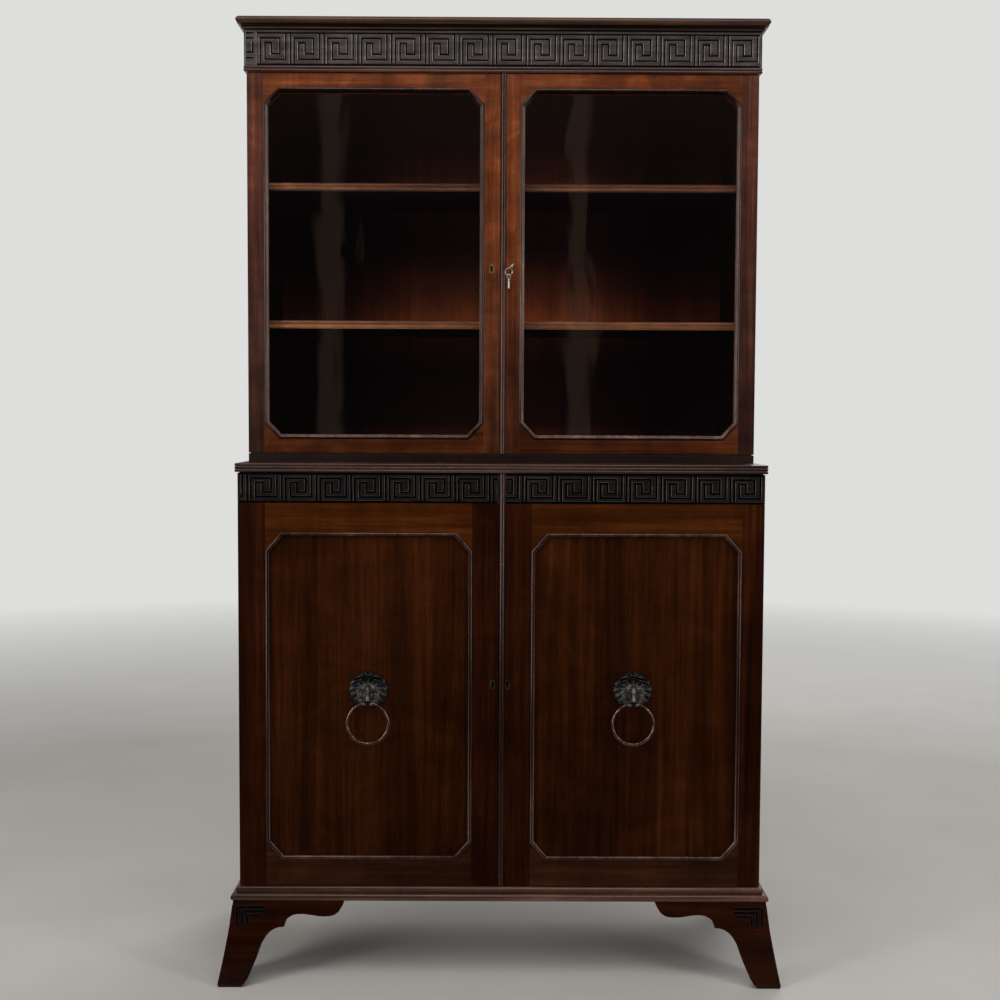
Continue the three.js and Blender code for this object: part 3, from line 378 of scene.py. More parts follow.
@functools.cache
def old_glass():
    """Old sheet glass: slow waves that bend its reflections, a few seeds and a little dust."""
    n = new_nodes("old_glass")
    coords = n.coords()
    wave = n.noise(n.scaled(coords, (9.0, 9.0, 3.4)), 1.0, 2.0, 0.4, 0.5)
    seeds = n.noise(coords, 40.0, 2.0, 0.5)
    dust = n.noise(n.scaled(coords, (5.0, 5.0, 3.0)), 1.0, 4.0, 0.6)
    colour = n.ramp(seeds, [(0.3, (0.94, 0.95, 0.93, 1)), (0.7, (0.98, 0.98, 0.97, 1))])
    rough = n.span(dust, 0.45, 0.75, 0.0, 0.03)
    return n.surface(colour, rough, n.bump(wave, 0.12, 0.004), Transmission_Weight=1.0, IOR=1.46)


# Deep, mid and bright tone of each metal, its roughness range, its dirt and how metallic it is
METALS = {
    "brass": ((122, 96, 56), (168, 140, 92), (206, 182, 136), (0.26, 0.44), 0.5, 0.9),
    "dull_brass": ((40, 30, 21), (62, 48, 35), (96, 78, 58), (0.34, 0.52), 0.6, 0.8),
    "key_brass": ((176, 166, 146), (212, 204, 188), (244, 240, 230), (0.16, 0.32), 0.35, 0.8),
    "bronze": ((70, 68, 65), (112, 108, 104), (160, 155, 150), (0.28, 0.42), 0.4, 0.35),
    "ring": ((84, 64, 58), (132, 106, 98), (182, 154, 145), (0.16, 0.3), 0.45, 0.9),
}
# Painted light and shade on the cast masks by height, from their ground to their highest point: painted
# highlights on the mane's ridges and the nose, painted shade on the mane's ground and the flats of the face
MASK_RISE = 28.0
MASK_PAINTED_LIGHT = [(0.1, (0.06, 0.06, 0.06, 1)), (0.26, (0.28, 0.28, 0.28, 1)), (0.4, (0.74, 0.73, 0.73, 1)),
               (0.5, (0.64, 0.64, 0.63, 1)), (0.62, (0.22, 0.22, 0.21, 1)), (0.8, (0.42, 0.41, 0.4, 1)),
               (0.95, (1, 0.98, 0.94, 1))]


@functools.cache
def metal(kind):
    """Old cast or rolled metal with dirt in its pits. The bronze of the masks also gets painted shade in its
    hollows and painted light and shade by height.
    """
    *tones, rough, dirt, metallic = METALS[kind]
    deep, pale, bright = [linear(*colour) for colour in tones]
    n = new_nodes(kind)
    coords = n.coords()
    cloud = n.noise(coords, 90.0, 5.0, 0.65)
    spots = n.noise(coords, 420.0, 3.0, 0.6)
    wipe = n.noise(coords, 28.0, 3.0, 0.5)
    colour = n.ramp(cloud, [(0.32, deep), (0.52, pale), (0.72, bright)])
    colour = n.multiply(colour, n.ramp(spots, [(0.36, (0.35, 0.3, 0.26, 1)), (0.52, WHITE)]), dirt)
    if kind == "bronze":
        colour = paint_mask_light_and_shade(n, coords, colour)
    gloss = n.maths("ADD", n.span(wipe, 0.3, 0.7, *rough), n.span(spots, 0.3, 0.55, 0.14, 0.0))
    normal = n.bump(spots, 0.14, 0.0001, n.bump(cloud, 0.16, 0.0003))
    return n.surface(colour, gloss, normal, Metallic=metallic)


def paint_mask_light_and_shade(n, coords, colour):
    """Painted shade in the hollows of a mask, and painted light and shade by how far a point stands out of
    the panel.
    """
    hollow = n.filled("ShaderNodeAmbientOcclusion", "AO", {"Distance": 0.006}, only_local=True, samples=8)
    colour = n.multiply(colour, n.ramp(hollow, [(0.5, grey(0.02)), (0.95, WHITE)]))
    ground = (MASK_FACE - Y_SHIFT) * MM
    rise = n.span(n.split(coords)[1], ground, ground - MASK_RISE * MM, 0.0, 1.0)
    return n.multiply(colour, n.ramp(rise, MASK_PAINTED_LIGHT))


# Mesh helpers

def circle(radius, sides=20):
    turns = [2 * math.pi * k / sides for k in range(sides)]
    return [(radius * math.cos(a), radius * math.sin(a)) for a in turns]


def box_shell(x, y, z):
    points = [(a, b, c) for c in z for b in y for a in x]
    faces = [(0, 2, 3, 1), (4, 5, 7, 6), (0, 1, 5, 4), (2, 6, 7, 3), (0, 4, 6, 2), (1, 3, 7, 5)]
    return points, faces


def prism_shell(outline, y0, y1):
    """A plate whose outline is given in X and Z."""
    count = len(outline)
    points = [(x, y, z) for y in (y0, y1) for x, z in outline]
    faces = [tuple(range(count)), tuple(range(2 * count - 1, count - 1, -1))]
    faces += [(i, count + i, count + (i + 1) % count, (i + 1) % count) for i in range(count)]
    return points, faces


def loft_shell(rings, closed=False):
    count = len(rings[0])
    points = [p for ring in rings for p in ring]
    faces = []
    steps = len(rings) if closed else len(rings) - 1
    for s in range(steps):
        here, there = s * count, ((s + 1) % len(rings)) * count
        faces += [(here + i, here + (i + 1) % count, there + (i + 1) % count, there + i)
                  for i in range(count)]
    if not closed:
        faces.append(tuple(range(count)))
        faces.append(tuple(range(len(points) - 1, len(points) - count - 1, -1)))
    return points, faces


def ring_plate_shell(outer, inner, y0, y1):
    """A flat ring between two outlines of the same number of points."""
    section = [(outer, y0), (outer, y1), (inner, y1), (inner, y0)]
    rings = [[(loop[i][0], y, loop[i][1]) for loop, y in section] for i in range(len(outer))]
    return loft_shell(rings, closed=True)


def disc(radius, y0, y1):
    return prism_shell(circle(radius), y0, y1)


def tube_z(radius, z0, z1, sides=20):
    return lathe_z([(radius, z0), (radius, z1)], sides)


def lathe_z(profile, sides=20):
    """A turned piece round the Z axis, from its radii and levels."""
    return loft_shell([[(x, y, z) for x, y in circle(r, sides)] for r, z in profile])


def lathe_y(profile, sides=24):
    """A turned piece round the Y axis, from its radii and depths."""
    return loft_shell([[(x, y, z) for x, z in circle(r, sides)] for r, y in profile])


def turned(shell, matrix):
    points, faces = shell
    return [tuple(matrix @ Vector(p)) for p in points], faces


def moved(shell, x, y, z):
    return turned(shell, Matrix.Translation((x, y, z)))


def link_object(name, data):
    obj = bpy.data.objects.new(name, data)
    bpy.context.scene.collection.objects.link(obj)
    return obj


def mesh_from(name, bm):
    mesh = bpy.data.meshes.new(name)
    bm.to_mesh(mesh)
    bm.free()
    return mesh


def make_mesh(name, shells):
    bm = bmesh.new()
    for points, faces in shells:
        verts = [bm.verts.new(at(*p)) for p in points]
        for face in faces:
            bm.faces.new([verts[i] for i in face])
    bmesh.ops.remove_doubles(bm, verts=bm.verts, dist=1e-7)
    bmesh.ops.recalc_face_normals(bm, faces=bm.faces)
    return mesh_from(name, bm)


# Edges sharper than these angles are bevelled, and shaded as edges
BEVEL_ANGLE = math.radians(40)
SHARP_ANGLE = 32.0


def round_edges(obj, width, segments, material=-1):
    mod = obj.modifiers.new("edges", "BEVEL")
    mod.width = width
    mod.segments = segments
    mod.material = material
    mod.limit_method = "ANGLE"
    mod.angle_limit = BEVEL_ANGLE
    mod.harden_normals = True


def piece(name, shells, materials, body, nodes=(), slot=None, bevel=0.0, segments=2, smooth=SHARP_ANGLE,
          edge=False, mesh=None):
    """One shown piece: its closed shells, its materials, and the body that it rides on."""
    mesh = mesh or make_mesh(name, shells)
    obj = link_object(name, mesh)
    for material in materials:
        mesh.materials.append(material)
    if smooth is not None:
        mesh.shade_smooth()
        mesh.set_sharp_from_angle(angle=math.radians(smooth))
    if bevel:
        round_edges(obj, bevel * MM, segments, 1 if edge else -1)
    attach(obj, body)
    if nodes:
        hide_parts(*nodes)
    return obj


def carve(obj, shells, operation="DIFFERENCE"):
    """Cuts closed shells out of a piece, or joins them to it, before its bevel."""
    cutter = link_object("cutter", make_mesh("cutter", shells))
    kept = [(m.width, m.segments, m.material) for m in obj.modifiers]
    obj.modifiers.clear()
    cut = obj.modifiers.new("cut", "BOOLEAN")
    cut.operation = operation
    cut.solver = "EXACT"
    cut.object = cutter
    graph = bpy.context.evaluated_depsgraph_get()
    mesh = bpy.data.meshes.new_from_object(obj.evaluated_get(graph))
    obj.modifiers.clear()
    old, used = obj.data, cutter.data
    obj.data = mesh
    mesh.name = old.name
    bpy.data.objects.remove(cutter)
    for spare in (old, used):
        bpy.data.meshes.remove(spare)
    mesh.set_sharp_from_angle(angle=math.radians(SHARP_ANGLE))
    for bevel in kept:
        round_edges(obj, *bevel)


def board(name, x, y, z, tone, axis, node, slot="mahogany", bevel=0.6):
    """A plain board of the case."""
    return piece(name, [box_shell(x, y, z)], board_slots(tone, axis), "case", [node], slot, bevel)


def line_faces(obj, material, direction):
    """Gives the faces that look one way a material of their own."""
    obj.data.materials.append(material)
    for face in obj.data.polygons:
        if face.normal.dot(Vector(direction)) > 0.5:
            face.material_index = len(obj.data.materials) - 1


def canted(area, inset):
    """The eight corners of a rectangle with canted corners, drawn in by an inset."""
    x0, x1, z0, z1, cx, cz = area
    spread = math.hypot(1 / cx, 1 / cz) * inset
    ax = cx * (1 + spread - inset / cz) - inset
    az = cz * (1 + spread - inset / cx) - inset
    x0, x1, z0, z1 = x0 + inset, x1 - inset, z0 + inset, z1 - inset
    return [(x0 + ax, z0), (x1 - ax, z0), (x1, z0 + az), (x1, z1 - az),
            (x1 - ax, z1), (x0 + ax, z1), (x0, z1 - az), (x0, z0 + az)]


def canted_ring(area, section):
    """Eight mitred lengths of one moulding, as rings at the eight corners."""
    loops = [canted(area, inset) for inset, _y in section]
    rings = [[(loop[i][0], y, loop[i][1]) for loop, (_inset, y) in zip(loops, section)] for i in range(8)]
    return loft_shell(rings, True)


def arc(centre, radii, start, end, steps):
    """Points on an ellipse between two angles in degrees."""
    out = []
    for i in range(steps + 1):
        a = math.radians(start + (end - start) * i / steps)
        out.append((centre[0] + radii[0] * math.cos(a), centre[1] + radii[1] * math.sin(a)))
    return out


def moulding_sticks(name, profile, inner, front, tone, node):
    """A moulding along the front and both sides of the case, mitred at the corners."""
    section = profile + [(-inner, profile[-1][1]), (-inner, profile[0][1])]

    def cross(side, y_of):
        return [(side * (CASE_HALF + out), y_of(out), z) for out, z in section]

    corners = {word: cross(side, lambda out: front - out) for word, side in SIDES}
    runs = [("front", corners["left"], corners["right"], "X")]
    runs += [(word, corners[word], cross(side, lambda out: BACK), "Y") for word, side in SIDES]
    for word, start, end, axis in runs:
        piece(f"{name}_{word}", [loft_shell([start, end])], board_slots(tone, axis), "case", [node],
              "mahogany", 0.25, 1, smooth=34)


def reed_profile(count, bottom, height, overhang, depth):
    """Reeds one above the other: overhang and level from the bottom up."""
    half = height / count / 2
    points = []
    for k in range(count):
        reed = arc((overhang - depth, bottom + (2 * k + 1) * half), (depth, half), -90, 90, 8)
        points += reed[1:] if k else reed
    return points


# Cornice: how far in its mouldings reach, and how far its frieze stands out of the case
CORNICE_INNER = 40.0
CORNICE_BEAD = 12.0
FRIEZE_PROUD = 4.5
FRIEZE_FRONT_THICK = 22.3
FRIEZE_SIDE_THICK = 4.1
FRIEZE_MITRE = 4.2
# The running key of the cornice: rise over the frieze's foot, height and groove
UPPER_KEY = {"rise": 14.0, "height": 63.0, "groove": 3.2}


def cornice_profile():
    """Overhang and level from the frieze up: fillet, hollow, and a rounded nosing."""
    z = CORNICE_LEVEL
    hollow = arc((16.4, z + 5.2), (7.8, 5.0), 180, 90, 7)
    nose = [(out, min(level, TOP)) for out, level in arc((9.0, z + 17.8), (10.0, 8.2), -62, 90, 14)]
    return [(5.0, z), (5.0, z + 1.2), (8.0, z + 1.6), (8.6, z + 2.4), (8.6, z + 5.2), *hollow[1:],
            *[p for p in nose if p[1] > z + 10.6]]


def build_cornice():
    moulding_sticks("cornice_edge", cornice_profile(), CORNICE_INNER, UPPER_FRONT, "cornice",
                    "cornice_moulding")
    half = CASE_HALF - CORNICE_INNER
    board("cornice_top", (-half, half), (UPPER_FRONT + CORNICE_INNER, BACK), (CORNICE_LEVEL, TOP - 0.8),
          "side", "X", "cornice_moulding")
    bead = reed_profile(2, FRIEZE_LEVEL, CORNICE_BEAD, 5.5, 2.4)
    moulding_sticks("cornice_bead", bead, 1.0, UPPER_FRONT, "moulding", "cornice_frieze")
    half = CASE_HALF + FRIEZE_PROUD
    front = UPPER_FRONT - FRIEZE_PROUD
    levels = (FRIEZE_LEVEL + CORNICE_BEAD + FIT, CORNICE_LEVEL)
    bottom = FRIEZE_LEVEL + UPPER_KEY["rise"]
    groove = UPPER_KEY["groove"]
    first = half - int(2 * half // KEY_PITCH) * KEY_PITCH
    cuts = key_grooves(first, half - groove, first, bottom, UPPER_KEY)
    cuts += end_dashes(FRIEZE_MITRE - half, first, bottom, UPPER_KEY)
    shell = relief_shell((FRIEZE_MITRE - half, half - FRIEZE_MITRE), levels, cuts, FRIEZE_FRONT_THICK,
                         lambda u, v, d: (u, front + d, v))
    relief_piece("cornice_frieze_front", shell, "upper", "X", "case", ["cornice_frieze"])
    for word, side in SIDES:
        cuts = key_grooves(front + groove, BACK - groove, front, bottom, UPPER_KEY)
        shell = relief_shell((front, BACK), levels, cuts, FRIEZE_SIDE_THICK,
                             lambda u, v, d, side=side: (side * (half - d), u, v))
        relief_piece(f"cornice_frieze_{word}", shell, "upper", "Y", "case", ["cornice_frieze"])


# Carved bands

# The short filling at the left end of the cornice: its margin, and the levels of its dashes as shares
DASH_MARGIN = 6.5
DASHES = (1.0, 0.84, 0.39, 0.21)
DASH_UPRIGHT = (0.39, 0.72)
# Rounding of the carved edges, and the least distance between two steps of a band
EDGE_ROUND = {"upper": 1.4, "lower": 1.25}
LEAST_STEP = 0.9


def end_dashes(start, end, bottom, key):
    """Level dashes and one upright, from the band's end to the first whole unit."""
    half = key["groove"] / 2
    end -= DASH_MARGIN
    levels = [bottom + share * key["height"] for share in DASHES]
    low, high = [bottom + share * key["height"] for share in DASH_UPRIGHT]
    return [(start, end, z - half, z + half) for z in levels] + [(end - key["groove"], end, low, high)]


def key_grooves(start, end, first, bottom, key):
    """Boxes of the running key's grooves in u and v, clipped to the band's ends."""
    half = key["groove"] / 2
    top = bottom + key["height"]
    cuts = []
    unit = first
    while unit < end:
        cuts.append((unit - half, unit + half, bottom, top))
        spots = [(unit + u * KEY_PITCH, bottom + v * key["height"]) for u, v in KEY_PATH]
        for (a, c), (b, d) in zip(spots, spots[1:]):
            cuts.append((min(a, b) - half, max(a, b) + half, max(min(c, d) - half, bottom),
                         min(max(c, d) + half, top)))
        unit += KEY_PITCH
    cuts += [(start, end, level - half, level + half) for level in (bottom, top)]
    return [(max(a, start), min(b, end), c, d) for a, b, c, d in cuts if min(b, end) - max(a, start) > 0.05]


def merged_steps(values):
    out = []
    for value in sorted(values):
        if not out or value - out[-1] > LEAST_STEP:
            out.append(value)
    return out


def relief_shell(u_span, v_span, cuts, thickness, place):
    """A strip with sunk cells: its points, its faces, and whether each face lies in a groove."""
    us = merged_steps([*u_span, *[u for c in cuts for u in c[:2]]])
    vs = merged_steps([*v_span, *[v for c in cuts for v in c[2:]]])
    columns, rows = len(us) - 1, len(vs) - 1

    def is_sunk(i, j):
        u, v = (us[i] + us[i + 1]) / 2, (vs[j] + vs[j + 1]) / 2
        return any(u0 < u < u1 and v0 < v < v1 for u0, u1, v0, v1 in cuts)

    sunk = [[is_sunk(i, j) for j in range(rows)] for i in range(columns)]
    points, index, faces, dark = [], {}, [], []

    def vertex(i, j, level):
        key = (i, j, level)
        if key not in index:
            index[key] = len(points)
            points.append(place(us[i], vs[j], (0.0, GROOVE_DEPTH, thickness)[level]))
        return index[key]

    def add(corners, in_groove=False):
        faces.append([vertex(*c) for c in corners])
        dark.append(in_groove)

    for i in range(columns):
        for j in range(rows):
            level = 1 if sunk[i][j] else 0
            add([(i, j, level), (i + 1, j, level), (i + 1, j + 1, level), (i, j + 1, level)], sunk[i][j])
            if i + 1 < columns and sunk[i][j] != sunk[i + 1][j]:
                add([(i + 1, j, 0), (i + 1, j + 1, 0), (i + 1, j + 1, 1), (i + 1, j, 1)], True)
            if j + 1 < rows and sunk[i][j] != sunk[i][j + 1]:
                add([(i, j + 1, 0), (i + 1, j + 1, 0), (i + 1, j + 1, 1), (i, j + 1, 1)], True)
    for i in range(columns):
        for j in (0, rows):
            add([(i, j, 0), (i + 1, j, 0), (i + 1, j, 2), (i, j, 2)])
    for j in range(rows):
        for i in (0, columns):
            add([(i, j, 0), (i, j + 1, 0), (i, j + 1, 2), (i, j, 2)])
    rim = [(i, 0, 2) for i in range(columns)] + [(columns, j, 2) for j in range(rows)]
    rim += [(i, rows, 2) for i in range(columns, 0, -1)] + [(0, j, 2) for j in range(rows, 0, -1)]
    add(rim)
    return points, faces, dark


# Slots of a carved band's materials: its face, a pale tone for painted highlights on bevels, and a near-black
# for painted shade in grooves
FACE_SLOT, EDGE_SLOT, GROOVE_SLOT = 0, 1, 2


def keep_painted_edge_highlights(bm, kind):
    """Keeps the pale edge tone, a painted highlight, on the bevels that face towards the middle, and on the
    doors on those that face down.
    """
    for face in bm.faces:
        if face.material_index == EDGE_SLOT:
            normal = face.normal
            inward = normal.x * face.calc_center_median().x < 0 and abs(normal.x) > 0.3
            under = normal.z < -0.3 and kind == "lower"
            if not (inward or under):
                face.material_index = FACE_SLOT


def relief_piece(name, shell, kind, axis, body, nodes):
    points, faces, dark = shell
    bm = bmesh.new()
    verts = [bm.verts.new(at(*p)) for p in points]
    for face, in_groove in zip(faces, dark):
        bm.faces.new([verts[i] for i in face]).material_index = GROOVE_SLOT if in_groove else FACE_SLOT
    bmesh.ops.recalc_face_normals(bm, faces=bm.faces)
    bmesh.ops.dissolve_limit(bm, angle_limit=0.01, verts=bm.verts, edges=bm.edges, delimit={"MATERIAL"})
    ridges = [e for e in bm.edges if e.is_convex and e.calc_face_angle(0.0) > 1.0]
    # Convex edges are rounded and take the pale edge tone, a painted highlight
    bmesh.ops.bevel(bm, geom=ridges, offset=EDGE_ROUND[kind] * MM, offset_type="OFFSET", segments=3,
                    profile=0.5, affect="EDGES", clamp_overlap=True, material=EDGE_SLOT)
    bm.normal_update()
    for face in bm.faces:
        face.smooth = face.material_index == EDGE_SLOT
    keep_painted_edge_highlights(bm, kind)
    materials = [ebony(kind, axis), ebony(f"{kind}_edge", axis), ebony(f"{kind}_groove", axis)]
    piece(name, None, materials, body, nodes, "ebonised_wood", smooth=None, mesh=mesh_from(name, bm))


# Case: boards of both storeys, with shelves let into the sides

SHELF = 16.5
SHELF_TONGUE = 5.7
UPPER_SHELVES = {"low": 1319.0, "high": 1601.5}
UPPER_SHELF_FRONT = 158.4
LOWER_SHELF_FRONT = 62.9
LOWER_SHELF_LEVEL = 604.0
BOTTOM_BOARD = 18.0
# The moulded strip of a shelf's front edge, and its reeds: depth, height and distance from its face
SHELF_STRIP = 3.4
SHELF_REED = (1.6, 6.4, 0.1)
PLANKS = 6
PLANK_SEAM = 0.01
LEDGE_REEDS = 9.0


def side_boards(storey, front, bottom, top):
    return [board(f"{storey}_side_board_{word}", (side * INNER_HALF, side * CASE_HALF), (front, BACK),
                  (bottom, top), "side", "Z", f"{storey}_side_{word}") for word, side in SIDES]


def build_upper_case():
    board("upper_base", (-CASE_HALF, CASE_HALF), (UPPER_FRONT, BACK), (UPPER_LEVEL, UPPER_CASE_LEVEL),
          "plinth", "X", "upper_base_board")
    panels = side_boards("upper", UPPER_CASE_FRONT, UPPER_CASE_LEVEL, CORNICE_LEVEL)
    for panel, (_word, side) in zip(panels, SIDES):
        # The faces that look into the case take the near-black under tone: painted shade
        line_faces(panel, wood("under", "Z"), (-side, 0, 0))
    for word, level in UPPER_SHELVES.items():
        upper_shelf(word, level, UPPER_SHELF_FRONT)
    back_planks("upper", UPPER_CASE_LEVEL, CORNICE_LEVEL)


def upper_shelf(word, level, front):
    """A shelf with a strip of two reeds along its front edge."""
    half = INNER_HALF + SHELF_TONGUE
    z0, z1 = level, level + SHELF
    mid = (z0 + z1) / 2
    depth, height, proud = SHELF_REED

    def reed(foot):
        turns = range(20, 161, 20)
        return [(front + proud + depth * (1 - math.sin(math.radians(a))), foot + height * a / 180)
                for a in turns]

    strip = [(front + 0.8, z0), *reed(z0 + 0.7), (front + 2.4, mid - 0.8), (front + 2.4, mid + 0.8),
             *reed(mid + 1.1), (front + 0.8, z1), (front + SHELF_STRIP, z1), (front + SHELF_STRIP, z0)]
    rings = [[(x, y, z) for y, z in strip] for x in (-half, half)]
    name, node = f"upper_shelf_board_{word}", f"upper_shelf_{word}"
    piece(f"{name}_edge", [loft_shell(rings)], board_slots("shelf", "X"), "case", [node], "red_mahogany")
    # The shelf takes the inner tone, darkened as painted shade, and its underside the near-black under tone,
    # painted shade
    shelf = board(name, (-half, half), (front + SHELF_STRIP, BACK_BOARD - FIT), (z0, z1), "inner", "X", node,
                  "red_mahogany", 0.4)
    line_faces(shelf, wood("under", "X"), (0, 0, -1))


def back_planks(storey, bottom, top):
    half = INNER_HALF - FIT
    width = 2 * half / PLANKS
    for k in range(PLANKS):
        x = (-half + k * width + PLANK_SEAM, -half + (k + 1) * width - PLANK_SEAM)
        # The planks' fronts take a tone darkened for the shade inside the case, with painted pools of light
        # above the shelves
        plank = board(f"{storey}_back_plank_{k}", x, (BACK_BOARD, BACK), (bottom, top), "case_back", "Z",
                      f"{storey}_back", "inner_wood", 0.8)
        line_faces(plank, wood("back", "Z"), (0, 1, 0))


def build_lower_case():
    profile = reed_profile(3, TOP_LEVEL, UPPER_LEVEL - TOP_LEVEL, 5.0, 2.1)
    moulding_sticks("ledge_reeds", profile, LEDGE_REEDS, 0.0, "moulding", "lower_top")
    half = CASE_HALF - LEDGE_REEDS
    board("ledge_board", (-half, half), (LEDGE_REEDS, BACK), (TOP_LEVEL, UPPER_LEVEL), "side", "X",
          "lower_top", bevel=0.3)
    side_boards("lower", LOWER_CASE_FRONT, CASE_LEVEL, TOP_LEVEL)
    half = INNER_HALF - FIT
    # The bottom board and the shelf take the inner tone, darkened as painted shade
    board("lower_bottom_board", (-half, half), (LOWER_CASE_FRONT, BACK_BOARD - FIT),
          (CASE_LEVEL, CASE_LEVEL + BOTTOM_BOARD), "inner", "X", "lower_bottom", "inner_wood")
    half += SHELF_TONGUE
    board("lower_shelf_board", (-half, half), (LOWER_SHELF_FRONT, BACK_BOARD - FIT),
          (LOWER_SHELF_LEVEL, LOWER_SHELF_LEVEL + SHELF), "inner", "X", "lower_shelf", "inner_wood", 1.2)
    back_planks("lower", CASE_LEVEL, TOP_LEVEL)
    build_base()


# Base and feet: how far in the base's mouldings and its back rail reach

BASE_INNER = 60.0
BACK_RAIL = 70.0
FOOT_THICK = 28.0
FOOT_PROUD = 12.0
FRONT_SPLAY = 25.0
SIDE_SPLAY = 29.0
SPLAY_POWER = 1.2
SPLAY_STEPS = 12
FOOT_ARM = 211.0
SIDE_ARM_SHARE = 176.0 / FOOT_ARM
BACK_ARM_SHARE = 120.0 / FOOT_ARM
PAD = 4.0
PAD_INSET = 1.6
# The foot's shaped edge from its pad up to the end of its arm: distance in from the case's side, and level
FOOT_EDGE = [(10, PAD), (14.5, 9), (20.5, 18), (26, 31), (33, 47), (37.5, 59), (42.4, 74), (48, 87),
             (55.4, 99), (60, 104.5), (65, 109), (72, 113.2), (80.5, 116), (91, 117), (92.3, 123.3),
             (94.6, 130), (100, 135), (108, 139.6), (117, 141.6), (130, 141.7), (145, 139.8), (160, 137.5),
             (173, 137), (184, 138), (192, 140.6), (199, 145.6), (204.6, 154), (208.5, 161), (FOOT_ARM, FOOT)]
# The three nested carved lines: place in from the case's side, level of the top, length and height
FOOT_LINES = [(-7.0, 158.5, 60.0, 38.0), (3.5, 150.4, 50.0, 31.0), (14.0, 142.3, 34.0, 22.0)]
LINE_WIDTH = 5.8
LINE_LAP = 0.4
LINE_PROUD = 1.4
LINE_SUNK = 1.5
LINE_SIDE_SHIFT = 4.0


def base_profile():
    """Overhang and level from the feet up: a round, a hollow step and a smaller round."""
    z = FOOT
    low = arc((10.5, z + 7.0), (6.0, 7.0), -80, 90, 12)
    high = arc((3.0, z + 20.2), (4.0, 5.8), -80, 90, 10)
    return [(low[0][0] - 1, z), *low, (4.6, z + 14.1), *high[1:]]


def build_base():
    moulding_sticks("base_reeds", base_profile(), BASE_INNER, 0.0, "base", "base_moulding")
    half = CASE_HALF - BASE_INNER
    board("base_back_rail", (-half, half), (BACK - BACK_RAIL, BACK), (FOOT, CASE_LEVEL), "back", "X",
          "base_moulding")
    for word, side in SIDES:
        build_foot(word, side, False)
        build_foot(word, side, True)


def foot_out(z, splay):
    """How far a foot stands out past the case at a level."""
    return FOOT_PROUD + splay * (1 - z / FOOT) ** SPLAY_POWER


def slice_mesh(bm, point, normal):
    bmesh.ops.bisect_plane(bm, geom=bm.verts[:] + bm.edges[:] + bm.faces[:], plane_co=point, plane_no=normal)


def pull_faces(bm):
    """Pulls all faces into a second layer and returns its vertices."""
    pulled = bmesh.ops.extrude_face_region(bm, geom=bm.faces[:])
    return {v for v in pulled["geom"] if isinstance(v, bmesh.types.BMVert)}


def foot_plate(splay, cross_splay, arm_share, start, least=0.0):
    """One face of a foot: its outline pulled into a plate, then bent to the splay of both faces.

    The first coordinate runs in from the case's side or front, the second one out of the plate's face.
    """
    edge = [(max(d * arm_share, least), z) for d, z in FOOT_EDGE]
    levels = [PAD + (FOOT - PAD) * k / SPLAY_STEPS for k in range(SPLAY_STEPS + 1)]
    outer = [(start - foot_out(z, splay), z) for z in reversed(levels)]
    bm = bmesh.new()
    bm.faces.new([bm.verts.new(Vector((d, 0.0, z))) for d, z in edge + outer])
    for z in levels[1:-1]:
        slice_mesh(bm, Vector((0, 0, z)), Vector((0, 0, 1)))
    inner = pull_faces(bm)
    for v in bm.verts:
        v.co.y = (FOOT_THICK if v in inner else 0) - foot_out(min(v.co.z, FOOT), cross_splay)
    bm.verts.index_update()
    shell = ([tuple(v.co) for v in bm.verts], [tuple(v.index for v in f.verts) for f in bm.faces])
    bm.free()
    return shell


def build_foot(word, side, at_back):
    """A splayed bracket foot, joined from its front and side faces. At the back its face is flat."""
    name = f"foot_{'back' if at_back else 'front'}_{word}"
    sign, plane = (-1, BACK) if at_back else (1, 0.0)
    splay, lift = (0.0, FOOT_PROUD) if at_back else (FRONT_SPLAY, 0.0)
    points, faces = foot_plate(SIDE_SPLAY, splay, BACK_ARM_SHARE if at_back else 1.0, 0.0)
    front = ([(side * (CASE_HALF - d), plane + sign * (y + lift), z) for d, y, z in points], faces)
    points, faces = foot_plate(splay, SIDE_SPLAY, SIDE_ARM_SHARE, FOOT_THICK - 1 + lift, FOOT_THICK + lift)
    flank = ([(side * (CASE_HALF - y), plane + sign * d, z) for d, y, z in points], faces)
    foot = piece(f"{name}_block", [front], board_slots("dark", "X"), "case", [name], "mahogany", 0.7)
    carve(foot, [flank], "UNION")
    foot_pad(f"{name}_pad", side, sign, plane, foot_out(PAD, splay) - lift)
    if not at_back:
        foot_lines(f"{name}_lines", side)


def foot_pad(name, side, sign, plane, out):
    """A thin dark pad under the foot, a little smaller than the foot's end."""
    reach = CASE_HALF + foot_out(PAD, SIDE_SPLAY) - PAD_INSET
    face = plane - sign * (out - PAD_INSET)
    y = sorted((face, face + sign * (FOOT_THICK - 2 * PAD_INSET)))
    shell = box_shell(sorted((side * reach, side * (CASE_HALF - 8))), y, (0.0, PAD + 0.2))
    piece(name, [shell], [ebony("lower", "X")], "case", (), "ebonised_wood", 0.6)


def foot_lines(name, side):
    """Three nested dark lines at the upper outer corner of a front foot, on its front and its side."""
    shells = []
    for near, top, length, height in FOOT_LINES:
        shells += foot_strip(side, near, near + LINE_WIDTH, top - height, top)
        shells += foot_strip(side, near + LINE_WIDTH - LINE_LAP, near + length, top - LINE_WIDTH, top)
    # The lines take the near-black groove tone as their own black; their rounded edges take the paler band
    # tone, a painted highlight
    piece(name, shells, [ebony("lower_groove", "X"), ebony("lower", "X")], "case", (), "ebonised_wood", 0.9,
          edge=True)


